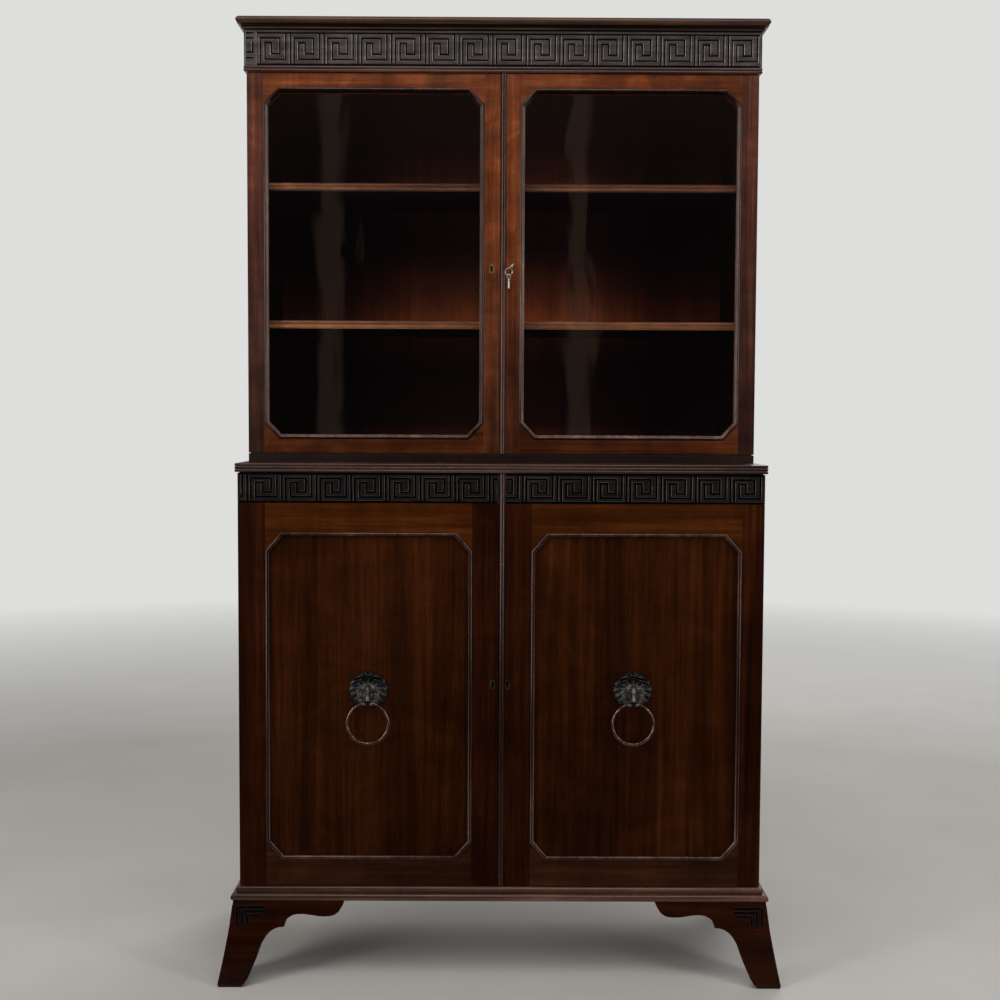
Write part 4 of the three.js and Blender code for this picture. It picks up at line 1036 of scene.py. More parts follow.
def foot_strip(side, near, far, z0, z1):
    """One low line on the front face and its twin on the side face, following the splay."""
    steps = max(1, int((z1 - z0) / 12))
    front, flank = [], []
    for k in range(steps + 1):
        z = z0 + (z1 - z0) * k / steps
        xa, xb = side * (CASE_HALF - near), side * (CASE_HALF - far)
        y = -foot_out(z, FRONT_SPLAY)
        y_out, y_in = y - LINE_PROUD, y + LINE_SUNK
        front.append([(xa, y_out, z), (xb, y_out, z), (xb, y_in, z), (xa, y_in, z)])
        ya, yb = near - LINE_SIDE_SHIFT, far - LINE_SIDE_SHIFT
        x = CASE_HALF + foot_out(z, SIDE_SPLAY)
        x_out, x_in = side * (x + LINE_PROUD), side * (x - LINE_SUNK)
        flank.append([(x_out, ya, z), (x_out, yb, z), (x_in, yb, z), (x_in, ya, z)])
    return [loft_shell(front), loft_shell(flank)]


# Doors: the opening of each door as its left, right, bottom and top, and the two legs of its canted corners

GLAZED_AREA = {-1: (-489.0, -37.0, 1090.5, 1805.5, 31.0, 33.0), 1: (36.0, 489.0, 1090.5, 1805.5, 31.0, 33.0)}
PANEL_AREA = {-1: (-468.0, -57.5, 248.5, 907.0, 31.0, 36.0), 1: (60.0, 478.0, 248.5, 907.0, 31.0, 36.0)}
DOOR_SPAN = {-1: (-CASE_HALF, LEFT_EDGE), 1: (RIGHT_EDGE, CASE_HALF)}
DOOR_SLOT = {"upper": "red_mahogany", "lower": "mahogany"}
PANE_DEPTH = 8.0
PANE_FACES = (0.15, 2.85)
PANE_CELLS = (16, 26)
PANE_RIPPLE = 0.13
FIELD = (4.0, 13.0)
ASTRAGAL = {"centre": RIGHT_EDGE + 5.25, "half": 5.1, "proud": 4.4, "lift": 0.2}

# The carved strip at the top of the lower doors, and its running key
STRIP = 59.0
STRIP_THICK = 6.0
STRIP_PROUD = 1.0
STRIP_BACK = 5.3
STRIP_MARGIN = 2.1
LOWER_KEY = {"rise": 2.5, "height": 55.0, "groove": 4.2}


def door_piece(storey, word, part, node, shells, tone, axis, bevel=0.3, smooth=SHARP_ANGLE):
    """A wooden piece of a door."""
    return piece(f"{storey}_{word}_{part}", shells, board_slots(tone, axis), f"{storey}_{word}_door",
                 [f"{storey}_{word}_{node}"], DOOR_SLOT[storey], bevel, smooth=smooth)


def rail_shells(area, door, end_level, is_top):
    """A rail stepped at its rebate, with ears that fill the canted corners."""
    outlines = []
    for inset in (0.0, door["lip"]):
        corners = canted(area, inset)
        edge = corners[3:7] if is_top else [corners[7], *corners[0:3]]
        outlines.append(edge + [(edge[-1][0], end_level), (edge[0][0], end_level)])
    front, step = door["front"], door["front"] + door["rebate"]
    layers = ((0, front), (0, step), (1, step), (1, front + DOOR))
    return [loft_shell([[(x, y, z) for x, z in outlines[k]] for k, y in layers])]


def stile_shells(area, door, edge_x, at_left, band=0.0):
    """A stile stepped at its rebate, and set back at the top where a carved strip covers it."""
    front, back = door["front"], door["front"] + DOOR
    step = front + door["rebate"]
    near, far = (area[0], area[0] + door["lip"]) if at_left else (area[1], area[1] - door["lip"])

    def section(y):
        return [(edge_x, y), (near, y), (near, step), (far, step), (far, back), (edge_x, back)]

    top = door["top"]
    layers = [(front, door["bottom"]), (front, top - band)]
    if band:
        layers += [(front + STRIP_BACK, top - band), (front + STRIP_BACK, top)]
    return [loft_shell([[(x, y, z) for x, y in section(y0)] for y0, z in layers])]


def door_stiles(storey, word, side, area, door, outer_tone, meeting_tone, band=0.0):
    """The outer and the meeting stile of a door. Returns the meeting one, which carries the keyhole."""
    stiles = {}
    for at_left, edge_x in zip((True, False), DOOR_SPAN[side]):
        is_outer = at_left == (side < 0)
        shells = stile_shells(area, door, edge_x, at_left, band)
        role, tone = ("outer", outer_tone) if is_outer else ("meeting", meeting_tone)
        stiles[role] = door_piece(storey, word, f"{role}_stile", "door_frame", shells, tone, "Z")
    return stiles["meeting"]


def build_glazed_door(word, side):
    body = f"upper_{word}_door"
    area = GLAZED_AREA[side]
    meeting = door_stiles("upper", word, side, area, UPPER_DOOR, "stile", "warm" if side < 0 else "bright")
    for end, tone in (("top", "warm"), ("bottom", "foot_rail")):
        shells = rail_shells(area, UPPER_DOOR, UPPER_DOOR[end], end == "top")
        door_piece("upper", word, f"{end}_rail", "door_frame", shells, tone, "X")
    glazing_ring(word, area)
    glass_pane(word, area)
    if side > 0:
        astragal("upper", UPPER_DOOR)
        carve(meeting, [keyhole_shell(9.0, KEY_X, UPPER_FRONT, KEY_LEVEL)])
        carve(meeting, [lock_pocket()])
        build_lock()
    else:
        carve(meeting, [keyhole_shell(12.0, DUMMY_X, UPPER_FRONT, KEY_LEVEL)])
        carve(meeting, [strike_slot()])
        thread_escutcheon("upper_left_keyhole_rim", DUMMY_X, UPPER_FRONT, KEY_LEVEL, 10.4, 20.7, body,
                          ["upper_left_escutcheon"], "brass")
        strike(body)
    hinge_leaves("upper", word, side, UPPER_DOOR)


def glazing_ring(word, area):
    """The moulding in front of the pane: a flat round and a small fillet towards the glass."""
    front = UPPER_FRONT
    back = front + 7.7
    section = [(FIT, back), (FIT, front - 0.2), *arc((FIT + 3.0, front - 0.2), (2.6, -2.7), 160, 20, 7),
               (FIT + 5.9, front - 0.5), (FIT + 6.5, front - 0.2), (FIT + 7.2, front + 0.6),
               (FIT + 8.2, front + 2.2), (FIT + 9.0, front + 2.9), (FIT + 9.0, back)]
    paint_bead_light_and_shade(door_piece("upper", word, "glazing_bead", "glazing_moulding", [canted_ring(area, section)],
                          "bead", "Z", 0, 36))


def paint_bead_light_and_shade(bead):
    """Painted highlights on the flanks of a bead that look sideways and up, in a paler tone than its middle,
    and painted shade on those that look down.
    """
    for direction in ((1, 0, 0), (-1, 0, 0), (0, 0, 1)):
        line_faces(bead, wood("bead_line", "Z"), direction)
    line_faces(bead, ebony("lower_groove", "X"), (0, 0, -1))


def glass_pane(word, area):
    """Old sheet glass: a pane whose faces are not quite flat."""
    bm = bmesh.new()
    bm.faces.new([bm.verts.new(Vector((x, 0.0, z))) for x, z in canted(area, FIT)])
    for normal, count, start, end in zip((Vector((1, 0, 0)), Vector((0, 0, 1))), PANE_CELLS, area[0:3:2],
                                         area[1:4:2]):
        for k in range(1, count):
            slice_mesh(bm, normal * (start + (end - start) * k / count), normal)
    lifted = pull_faces(bm)
    for v in bm.verts:
        ripple = PANE_RIPPLE * noise.noise(Vector((v.co.x / 90, 0.7 if v in lifted else 3.1, v.co.z / 150)))
        depth = PANE_DEPTH + PANE_FACES[1 if v in lifted else 0]
        v.co = at(v.co.x, UPPER_FRONT + depth + ripple, v.co.z)
    bmesh.ops.recalc_face_normals(bm, faces=bm.faces)
    name = f"upper_{word}_pane"
    pane = piece(name, None, [old_glass()], f"upper_{word}_door", [f"upper_{word}_glass"], "glass",
                 mesh=mesh_from(name, bm))
    pane.visible_shadow = False


def astragal(storey, door, band=0.0):
    """The half-round bead that covers the joint between a pair of doors."""
    x, half = ASTRAGAL["centre"], ASTRAGAL["half"]
    front = door["front"] - ASTRAGAL["lift"]
    section = arc((x, front), (half, -ASTRAGAL["proud"]), 180, 0, 12) + [(x + half, front + 0.1),
                                                                         (x - half, front + 0.1)]
    shells = [loft_shell([[(x, y, z) for x, y in section] for z in (door["bottom"], door["top"])])]
    if band:
        shells.append(box_shell((x - half, x + half), (front - 0.5, front + 5.1),
                                (door["top"] - band + FIT, door["top"])))
    door_piece(storey, "right", "meeting_bead", "astragal", shells, "bead", "Z", 0, 30)


def build_panelled_door(word, side):
    body = f"lower_{word}_door"
    area = PANEL_AREA[side]
    top = LOWER_DOOR["top"]
    strip_bottom = top - STRIP
    meeting = door_stiles("lower", word, side, area, LOWER_DOOR, "dark", "dark", STRIP)
    shells = rail_shells(area, LOWER_DOOR, strip_bottom, True)
    shells.append(box_shell(area[:2], (STRIP_BACK, DOOR), (strip_bottom + 0.02, top)))
    door_piece("lower", word, "top_rail", "door_frame", shells, "rail", "X")
    shells = rail_shells(area, LOWER_DOOR, LOWER_DOOR["bottom"], False)
    door_piece("lower", word, "bottom_rail", "door_frame", shells, "sill", "X")
    door_piece("lower", word, "field", "panel", [prism_shell(canted(area, FIT), *FIELD)], "panel", "Z")
    cocked_bead(word, area)
    door_frieze(word, side, strip_bottom)
    key_x = LOWER_KEY_LEFT if side < 0 else LOWER_KEY_RIGHT
    carve(meeting, [keyhole_shell(12.0, key_x, 0.0, LOWER_KEY_LEVEL)])
    thread_escutcheon(f"lower_{word}_keyhole_rim", key_x, 0.0, LOWER_KEY_LEVEL, 10.6, 21.0, body, (),
                      "dull_brass")
    if side > 0:
        astragal("lower", LOWER_DOOR, STRIP)
        lower_lock(body)
    lion_mask(word, side)
    ring_pull(word, side)
    hinge_leaves("lower", word, side, LOWER_DOOR)


def cocked_bead(word, area):
    """The round bead that stands proud of the panel's edge."""
    section = [(FIT, 3.7), (FIT, -1.2), *arc((FIT + 3.4, -1.2), (3.4, -2.3), 165, 15, 10),
               (FIT + 6.8, -1.2), (FIT + 6.8, 3.7)]
    paint_bead_light_and_shade(door_piece("lower", word, "cocked_bead", "panel_bead", [canted_ring(area, section)],
                          "bead", "Z", 0, 36))


def door_frieze(word, side, bottom):
    x0, x1 = (-CASE_HALF, LEFT_EDGE) if side < 0 else (ASTRAGAL_EDGE, CASE_HALF)
    start = x0 if side < 0 else x0 + FIT
    units = int((x1 - x0) // KEY_PITCH)
    margin = (x1 - x0 - units * KEY_PITCH) / 2
    first = x0 + margin - KEY_PITCH if side < 0 else x1 - (units + 1) * KEY_PITCH
    cuts = key_grooves(start + STRIP_MARGIN, x1 - STRIP_MARGIN, first, bottom + LOWER_KEY["rise"], LOWER_KEY)
    shell = relief_shell((start, x1), (bottom + FIT, LOWER_DOOR["top"]), cuts, STRIP_THICK,
                         lambda u, v, d: (u, d - STRIP_PROUD, v))
    relief_piece(f"lower_{word}_key_frieze", shell, "lower", "X", f"lower_{word}_door",
                 [f"lower_{word}_frieze"])


# Fittings

KEYHOLE_OVERRUN = 0.5
# Keyhole: radius of its head, half width of its slot, and how far the slot drops below the head's middle
KEYHOLE = (2.5, 1.4, 8.4)
KEYHOLE_STEPS = 18
RIM_GROW = 0.3
RIM_SINK = (0.45, 2.2)
RIM_DROP = 3.1


def keyhole_outline(grow=0.0):
    """A round-headed keyhole about its centre, as one loop from the slot's left foot round the head."""
    radius, slot, drop = [size + grow for size in KEYHOLE]
    half_turn = 180 - math.degrees(math.asin(slot / radius))
    turns = [math.radians(half_turn * (2 * k / KEYHOLE_STEPS - 1)) for k in range(KEYHOLE_STEPS + 1)]
    return [(-slot, -drop), *[(radius * math.sin(a), radius * math.cos(a)) for a in turns], (slot, -drop)]


def keyhole_shell(depth, x, front, level):
    """The solid that cuts a keyhole into a door's face."""
    shell = prism_shell(keyhole_outline(), -KEYHOLE_OVERRUN, depth)
    return moved(shell, x, front - KEYHOLE_OVERRUN, level)


def stadium(width, height, count):
    """A loop of points round a round-ended plate, starting at the foot and going as the keyhole goes."""
    r = width / 2
    s = height / 2 - r
    quarter = math.pi * r / 2
    # Each stretch: its length, and the point at a distance along it
    stretches = [
        (quarter, lambda d: (-r * math.sin(d / r), -s - r * math.cos(d / r))),
        (2 * s, lambda d: (-r, d - s)),
        (2 * quarter, lambda d: (-r * math.cos(d / r), s + r * math.sin(d / r))),
        (2 * s, lambda d: (r, s - d)),
        (quarter, lambda d: (r * math.cos(d / r), -s - r * math.sin(d / r))),
    ]
    total = sum(length for length, _point in stretches)
    out = []
    for k in range(count):
        d = (k + 0.5) / count * total
        for length, point in stretches:
            if d < length:
                break
            d -= length
        out.append(point(d))
    return out


def thread_escutcheon(name, x, front, level, width, height, body, nodes, kind):
    """A brass keyhole lining that lies nearly flush in the stile."""
    inner = keyhole_outline(RIM_GROW)
    outer = [(px, pz - RIM_DROP) for px, pz in stadium(width, height, len(inner))]
    shell = ring_plate_shell(outer, inner, front - RIM_SINK[0], front + RIM_SINK[1])
    piece(name, [moved(shell, x, 0, level)], [metal(kind)], body, nodes, "brass", 0.3)


# Hinges: distance of their middles from the door's ends, and the sizes of leaves, knuckles, pin and screws
HINGE_INSET = 110.0
LEAF_X = (2.2, 17.9)
LEAF_Y = (0.15, 1.55)
LEAF_HALF = 31.9
KNUCKLE_RADIUS = 2.6
KNUCKLES = {"case": ((-32, -12.35), (12.35, 32)), "door": ((-11.95, 11.95),)}
PIN_RADIUS = 1.2
PIN_HALF = 31.8
HINGE_SCREWS = (-22, 0, 22)
HINGE_SCREW_IN = 10.0


def screw_head():
    """A countersunk head with a raised bar that stands for its slot."""
    return [disc(2.7, -0.25, 0.9), box_shell((-2.2, 2.2), (-0.34, -0.2), (-0.3, 0.3))]


def hinge_leaves(storey, word, side, door):
    """Brass butt hinges: each leaf with its knuckles and its screws."""
    axis_y = door["front"] + DOOR + DOOR_GAP / 2
    for end, level in (("bottom", door["bottom"] + HINGE_INSET), ("top", door["top"] - HINGE_INSET)):
        for kind, body, sign in (("case", "case", 1), ("door", f"{storey}_{word}_door", -1)):
            name = f"{storey}_{word}_hinge_{end}_{kind}"
            x, y = [sorted((way * a, way * b)) for way, (a, b) in ((-side, LEAF_X), (sign, LEAF_Y))]
            shells = [box_shell(x, y, (-LEAF_HALF, LEAF_HALF))]
            shells += [tube_z(KNUCKLE_RADIUS, *span) for span in KNUCKLES[kind]]
            if kind == "case":
                shells.append(tube_z(PIN_RADIUS, -PIN_HALF, PIN_HALF, 12))
            shells = [moved(shell, side * CASE_HALF, axis_y, level) for shell in shells]
            piece(f"{name}_plate", shells, [metal("brass")], body, [f"{name}_leaf"], "brass", 0.25)
            flip = Matrix.Scale(sign, 4, (0, 1, 0))
            place = (side * (CASE_HALF - HINGE_SCREW_IN), axis_y + sign * LEAF_Y[0])
            heads = [moved(turned(shell, flip), *place, level + dz) for dz in HINGE_SCREWS
                     for shell in screw_head()]
            piece(f"{name}_screws", heads, [metal("dull_brass")], body, (), "brass")


# Lock of the upper doors: its case, the throw of its bolt, and the openings for the key and the bolt
LOCK_BACK = UPPER_FRONT + DOOR - FIT
LOCK_FRONT = LOCK_BACK - 12.7
LOCK_LENGTH = 36.0
LOCK_WALL = 1.5
LOCK_HALF = 30.0
LOCK_SCREWS = [(dx, dz) for dz in (25, -25) for dx in (5, 31)]
KEY_CLEAR = 3.4
KEY_CLEAR_DROP = 9.4
BOLT_FRONT = LOCK_FRONT + LOCK_WALL + FIT
BOLT_THICK = 5.0
BOLT_THROW = 6.0
BOLT_CLEAR = 7.3
STRIKE_CLEAR = 7.6
# The bolt's outline from its tip: a head, a neck and a tail that the key's bit would move
BOLT_OUTLINE = [(0, -7), (10.5, -7), (10.5, 12.5), (32, 12.5), (32, 16.5), (7.5, 16.5), (7.5, 7), (0, 7)]


def lock_pocket():
    """The pocket in the back and the edge of the right door that the lock is let into."""
    x = (RIGHT_EDGE - 1, RIGHT_EDGE + 2 * FIT + LOCK_LENGTH)
    z = (KEY_LEVEL - LOCK_HALF - FIT, KEY_LEVEL + LOCK_HALF + FIT)
    return box_shell(x, (LOCK_FRONT - FIT, UPPER_FRONT + DOOR + 1), z)


def strike_slot():
    """The slot in the edge of the left door that the bolt slides into."""
    y = (BOLT_FRONT - 2 * FIT, BOLT_FRONT + BOLT_THICK + 2 * FIT)
    z = (KEY_LEVEL - STRIKE_CLEAR, KEY_LEVEL + STRIKE_CLEAR)
    return box_shell((LEFT_EDGE - BOLT_THROW, LEFT_EDGE + 1), y, z)


def lock_walls(x0, x1, z0, z1):
    """The lock's case: a front pierced for the key, a back, and an edge pierced for the bolt."""
    wall = LOCK_WALL
    front, back = (LOCK_FRONT, LOCK_FRONT + wall), (LOCK_BACK - wall, LOCK_BACK)
    rim = (LOCK_FRONT, LOCK_BACK - wall)
    low, high = z0 + wall, z1 - wall
    hole = (KEY_X - KEY_CLEAR, KEY_X + KEY_CLEAR)
    walls = [
        ((x0 + wall, hole[0]), front, (low, high)),
        ((hole[1], x1 - wall), front, (low, high)),
        (hole, front, (KEY_LEVEL + KEY_CLEAR, high)),
        (hole, front, (low, KEY_LEVEL - KEY_CLEAR_DROP)),
        ((x0, x1), back, (z0, z1)),
        ((x1 - wall, x1), rim, (z0, z1)),
        ((x0, x1 - wall), rim, (z0, low)),
        ((x0, x1 - wall), rim, (high, z1)),
        ((x0, x0 + wall), rim, (low, KEY_LEVEL - BOLT_CLEAR)),
        ((x0, x0 + wall), rim, (KEY_LEVEL + BOLT_CLEAR, high)),
    ]
    return [box_shell(*spans) for spans in walls]


def build_lock():
    """The lock in the back of the upper right door, its bolt, and the key with its tag."""
    body = "upper_right_door"
    x = RIGHT_EDGE + FIT
    shells = lock_walls(x, x + LOCK_LENGTH, KEY_LEVEL - LOCK_HALF, KEY_LEVEL + LOCK_HALF)
    piece("upper_right_lock_box", shells, [metal("dull_brass")], body, ["upper_right_lock_case"], "brass",
          0.4)
    screws = [moved(disc(2.2, -0.1, 0.25), x + dx, LOCK_BACK, KEY_LEVEL + dz) for dx, dz in LOCK_SCREWS]
    piece("upper_right_lock_screws", screws, [metal("brass")], body, (), "brass")
    outline = [(x + FIT + dx, KEY_LEVEL + dz) for dx, dz in BOLT_OUTLINE]
    bolt = prism_shell(outline, BOLT_FRONT, BOLT_FRONT + BOLT_THICK)
    piece("upper_right_bolt", [bolt], [metal("brass")], "lock_bolt", ["upper_right_lock_bolt"], "brass", 0.3)
    build_key()


def lower_lock(body):
    """The lock let into the back of the lower right door, with its screws."""
    back = DOOR - FIT
    x, z = RIGHT_EDGE + FIT, (LOWER_KEY_LEVEL - 28, LOWER_KEY_LEVEL + 28)
    piece("lower_right_lock_box", [box_shell((x, RIGHT_EDGE + 34), (back - 2, back + 0.25), z)],
          [metal("dull_brass")], body, (), "brass", 0.4)
    screws = [moved(disc(2.2, 0.1, 0.45), x + dx, back, LOWER_KEY_LEVEL + dz) for dz in (23, -23)
              for dx in (5, 28)]
    piece("lower_right_lock_screws", screws, [metal("brass")], body, (), "brass")


def strike(body):
    """Two plates on the edge of the left door, above and below the slot for the bolt."""
    x, y = (LEFT_EDGE - 1.2, LEFT_EDGE + 0.08), (UPPER_FRONT + 8, UPPER_FRONT + 19)
    shells = [box_shell(x, y, (KEY_LEVEL + low, KEY_LEVEL + high)) for low, high in ((-18, -7.8), (7.8, 18))]
    piece("upper_left_strike", shells, [metal("dull_brass")], body, (), "brass")


# Key and tag: the bow stands this far out of the door's face, and the tag hangs on its edge
BOW_OUT = 22.0
BOW = (5.5, 7.3)
KEY_TURN = math.radians(45)
SHANK = [(1.6, -16.9), (2.3, -16.2), (3.4, -15.3), (3.55, -14.6), (3.3, -13.8), (2.3, -13.4), (2.3, -3.6),
         (3.0, -3.2), (3.0, -2.2), (2.3, -1.8), (2.3, 19.0), (1.9, 19.2)]
# The three steps of the bit: how far each drops, and where it starts and ends along the shank
KEY_BIT = [(7.9, 12.3, 15.2), (7.9, 16.1, 19.1), (5.6, 15.1, 16.2)]
TAG_FOOT = 39.9
TAG_DROP = [(0.9, 0), (2.2, 0.4), (2.55, 1.3), (2.1, 2.4), (1.5, 3.1), (1.75, 5.5), (2.0, 9.0), (1.8, 13.0),
            (1.5, 15.6), (2.1, 16.4), (2.5, 17.6), (2.1, 18.8), (1.0, 19.5)]


def oval_tube(half_a, half_b, wire_in, wire_across, steps=48, sides=14):
    """A ring in the YZ plane with an oval wire."""
    rings = []
    for ca, sa in circle(1.0, steps):
        rings.append([(wire_across * s, (half_a + wire_in * c) * ca, (half_b + wire_in * c) * sa)
                      for c, s in circle(1.0, sides)])
    return loft_shell(rings, True)


def build_key():
    bits = [prism_shell([(-1, -drop), (1, -drop), (1, -1), (-1, -1)], y0, y1) for drop, y0, y1 in KEY_BIT]
    shells = [moved(oval_tube(*BOW, 1.5, 1.1), 0, -BOW_OUT, 0), lathe_y(SHANK), *bits]
    turn = Matrix.Translation((KEY_X, UPPER_FRONT, KEY_LEVEL)) @ Matrix.Rotation(KEY_TURN, 4, "Y")
    shells = [turned(shell, turn) for shell in shells]
    piece("door_key", shells, [metal("key_brass")], "key", ["key"], "brass", 0.15)
    hook = BOW[1] / math.sqrt(2)
    flat = Matrix.Rotation(math.pi / 2, 4, "Z")
    shells = [moved(turned(oval_tube(7.2, 7.2, 0.78, 0.78), flat), 0, 0, -5.6),
              moved(turned(oval_tube(3.4, 5.2, 0.55, 0.55, 36, 10), flat), 0, 0, -15.6),
              tube_z(0.7, -22.0, -19.6, 12),
              lathe_z([(r, up - TAG_FOOT) for r, up in TAG_DROP])]
    shells = [moved(shell, KEY_X - hook, UPPER_FRONT - BOW_OUT, KEY_LEVEL - hook) for shell in shells]
    piece("key_tag", shells, [metal("key_brass")], "key_fob", ["key_fob"], "brass")


# Lion masks and rings

MASK_X = 264.0
MASK_LEVEL = 592.0
MASK_FACE = 3.7
MASK_HALF = 39.5
MASK_UP = 38.0
MASK_DOWN = 36.4
MASK_ROWS = 58
MASK_SPOKES = 168
RING_DROP = 23.5
RING_FORWARD = 16.0
RING_RADIUS = 41.0
RING_WIRE = (1.9, 1.2)
# The hole through the mouth: length of its steps, how many each way, and its radius
CHANNEL = (1.9, 12, 2.6)

# Rows of the mane: number of locks, radii of their roots and tips, width, height, and lean of the tips
MANE_ROWS = [(15, 24.0, 41.5, 6.4, 9.0, 0.34), (13, 20.0, 34.0, 5.4, 12.6, 0.42)]
# The mane leaves the chin free: the degrees where it starts and that it runs over
MANE_START = -52
MANE_SWEEP = 284
MANE_SQUASH = 0.95

# The hair over the forehead, right half: where each lock starts at the parting, bends and ends
FRINGE = [((0.5, 36.5), (8, 38.5), (15, 33.0)), ((7, 34.5), (16, 36.0), (24.5, 28.5)),
          ((0.6, 31.0), (9, 33.5), (17, 28.0)), ((9, 29.5), (19, 30.0), (29.5, 21.0)),
          ((0.6, 25.8), (8, 28.6), (16.5, 22.4)), ((8, 24.2), (20, 23.0), (31.5, 13.0)),
          ((0.8, 20.8), (8, 22.8), (15, 17.6)), ((8, 18.6), (18, 17.0), (26.5, 6.0))]

# Bumps and hollows of the face, the same left and right: tilt, middle, radii, height, and how square it is
FACE = [
    (0, 0, 9, 13, 6.5, 3.8, 2),
    (0.16, 11.5, 2.4, 8.2, 2.0, 6.4, 2),
    (0, 12.8, -4.4, 6.4, 4.0, -7.6, 2),
    (0, 12.8, -4.8, 3.0, 2.0, 4.6, 2),
    (0, 0, -4, 4.4, 15.5, 10.5, 4),
    (0, 0, -16.5, 6.0, 4.4, 5.4, 2),
    (0, 3.4, -21.0, 2.2, 1.6, -6.0, 2),
    (0, 8.2, -14.5, 2.2, 6.5, -3.2, 2),
    (0, 18.4, -11.4, 5.0, 5.0, 6.0, 2),
    (0, 9.4, -25.5, 8.6, 6.0, 11.5, 3),
    (0, 0, -25.5, 1.3, 6, -5.0, 2),
    (0, 0, -32.4, 11, 1.7, -9.0, 2),
    (0, 0, -36.5, 8.5, 4.0, 6.0, 2),
]


def curve_points(start, bend, end, count=9):
    """Points on a curved line drawn by three handles."""
    out = []
    for k in range(count):
        t = k / (count - 1)
        weights = ((1 - t) ** 2, 2 * t * (1 - t), t * t)
        out.append(tuple(sum(w * p[i] for w, p in zip(weights, (start, bend, end))) for i in range(2)))
    return out


def lock_height(x, z, path, width, height):
    """A lock of the mane: a rounded, tapering ridge along a curved line, with fine strands in it."""
    out = np.zeros_like(x)
    last = len(path) - 1
    for k, (px, pz) in enumerate(path):
        share = k / last
        here = width * (1 - 0.72 * share ** 1.5) * min(1.0, 0.55 + 1.6 * share)
        before, after = path[max(k - 1, 0)], path[min(k + 1, last)]
        ax, az = after[0] - before[0], after[1] - before[1]
        dx, dz = x - px, z - pz
        off = (dx * az - dz * ax) / math.hypot(ax, az)
        near = 1 - (dx * dx + dz * dz) / (here * here)
        strands = 0.86 + 0.14 * np.cos(off * 4.2 / here * 1.7)
        out = np.maximum(out, height * (1 - 0.3 * share) * np.sqrt(np.maximum(near, 0)) * strands)
    return out


def mane_locks():
    """Locks as (path, width, height): an outer row, an inner row over it, and the forehead's parting."""
    locks = []
    for count, root, tip, width, height, lean in MANE_ROWS:
        middle = (root + tip) / 2
        for k in range(count):
            turn = math.radians(MANE_START + (MANE_SWEEP / (count - 1)) * k)
            side = 1 if math.cos(turn) > 0 else -1
            bend = turn - side * lean * 0.25 + side * 0.12
            end = turn - side * lean
            path = curve_points(
                (root * 0.92 * math.cos(turn), root * 0.86 * math.sin(turn) - 1.5),
                (middle * math.cos(bend), middle * MANE_SQUASH * math.sin(bend)),
                (tip * math.cos(end), tip * MANE_SQUASH * math.sin(end)))
            locks.append((path, width, height))
    for side in (-1, 1):
        for k, handles in enumerate(FRINGE):
            path = curve_points(*[(side * x, z) for x, z in handles], count=13)
            locks.append((path, 3.6, 14.6 - 0.35 * k + 1.2 * (k % 2)))
    return locks


def face_height(x, z):
    """The face: forehead, brows, deep eyes, long nose, cheeks, whisker pads, mouth and chin."""
    ax = np.abs(x)
    h = 8.0 + 8.0 * np.exp(-(x / 21) ** 4 - ((z + 7) / 25) ** 4)
    for tilt, cx, cz, rx, rz, height, power in FACE:
        level = z - tilt * (ax - 12)
        h = h + height * np.exp(-np.abs((ax - cx) / rx) ** power - np.abs((level - cz) / rz) ** power)
    return h


def mask_height(x, z, locks):
    mane = 3.4 + 2.0 * np.exp(-(x / 34) ** 4 - (z / 30) ** 4)
    for lock in locks:
        mane = np.maximum(mane, lock_height(x, z, *lock))
    blend = 1 / (1 + np.exp((np.hypot(x / 22.5, (z + 8.5) / 25.0) - 1.0) * 14))
    return mane * (1 - blend) + np.maximum(face_height(x, z), 0.7 * mane) * blend


def mask_rim(turn):
    """The mask's outline, scalloped by the ends of its locks."""
    scallop = 1 - 0.045 * (0.5 + 0.5 * np.cos(15 * turn + 0.4)) - 0.02 * np.cos(31 * turn)
    down = np.where(np.sin(turn) > 0, MASK_UP, MASK_DOWN)
    return MASK_HALF * scallop * np.cos(turn), down * scallop * np.sin(turn)


def ring_channel():
    """The hole through the mouth: it flares at both ends so that the curved ring can swing."""
    step, steps, radius = CHANNEL
    rings = []
    for k in range(-steps, steps + 1):
        x = step * k
        drop = RING_RADIUS - math.sqrt(RING_RADIUS ** 2 - x * x)
        ring = []
        for c, s in circle(1.0):
            here = radius + (drop if c < 0.1 and s < 0.1 else 0.0)
            ring.append((x, -RING_FORWARD + here * c, -RING_DROP + here * s))
        rings.append(ring)
    return loft_shell(rings)


def mask_shell():
    """The mask as a relief: rows of points round its middle, and a flat back."""
    spokes = MASK_SPOKES
    turn = np.arange(spokes) * 2 * math.pi / spokes
    rim_x, rim_z = mask_rim(turn)
    share = ((np.arange(MASK_ROWS) + 1) / MASK_ROWS) ** 0.9
    x, z = np.outer(share, rim_x), np.outer(share, rim_z)
    locks = mane_locks()
    height = mask_height(x, z, locks) * np.maximum(0, 1 - share[:, None] ** 14) ** 0.5
    height[-1] = 0
    middle = float(mask_height(np.zeros(1), np.zeros(1), locks)[0])
    points = [(0.0, -middle, 0.0)]
    points += [(float(a), -float(h), float(c)) for a, c, h in zip(x.ravel(), z.ravel(), height.ravel())]
    faces = [(0, 1 + k, 1 + (k + 1) % spokes) for k in range(spokes)]
    for i in range(MASK_ROWS - 1):
        a, b = 1 + i * spokes, 1 + (i + 1) * spokes
        faces += [(a + k, b + k, b + (k + 1) % spokes, a + (k + 1) % spokes) for k in range(spokes)]
    last = 1 + (MASK_ROWS - 1) * spokes
    faces.append(tuple(last + k for k in range(spokes)))
    return points, faces


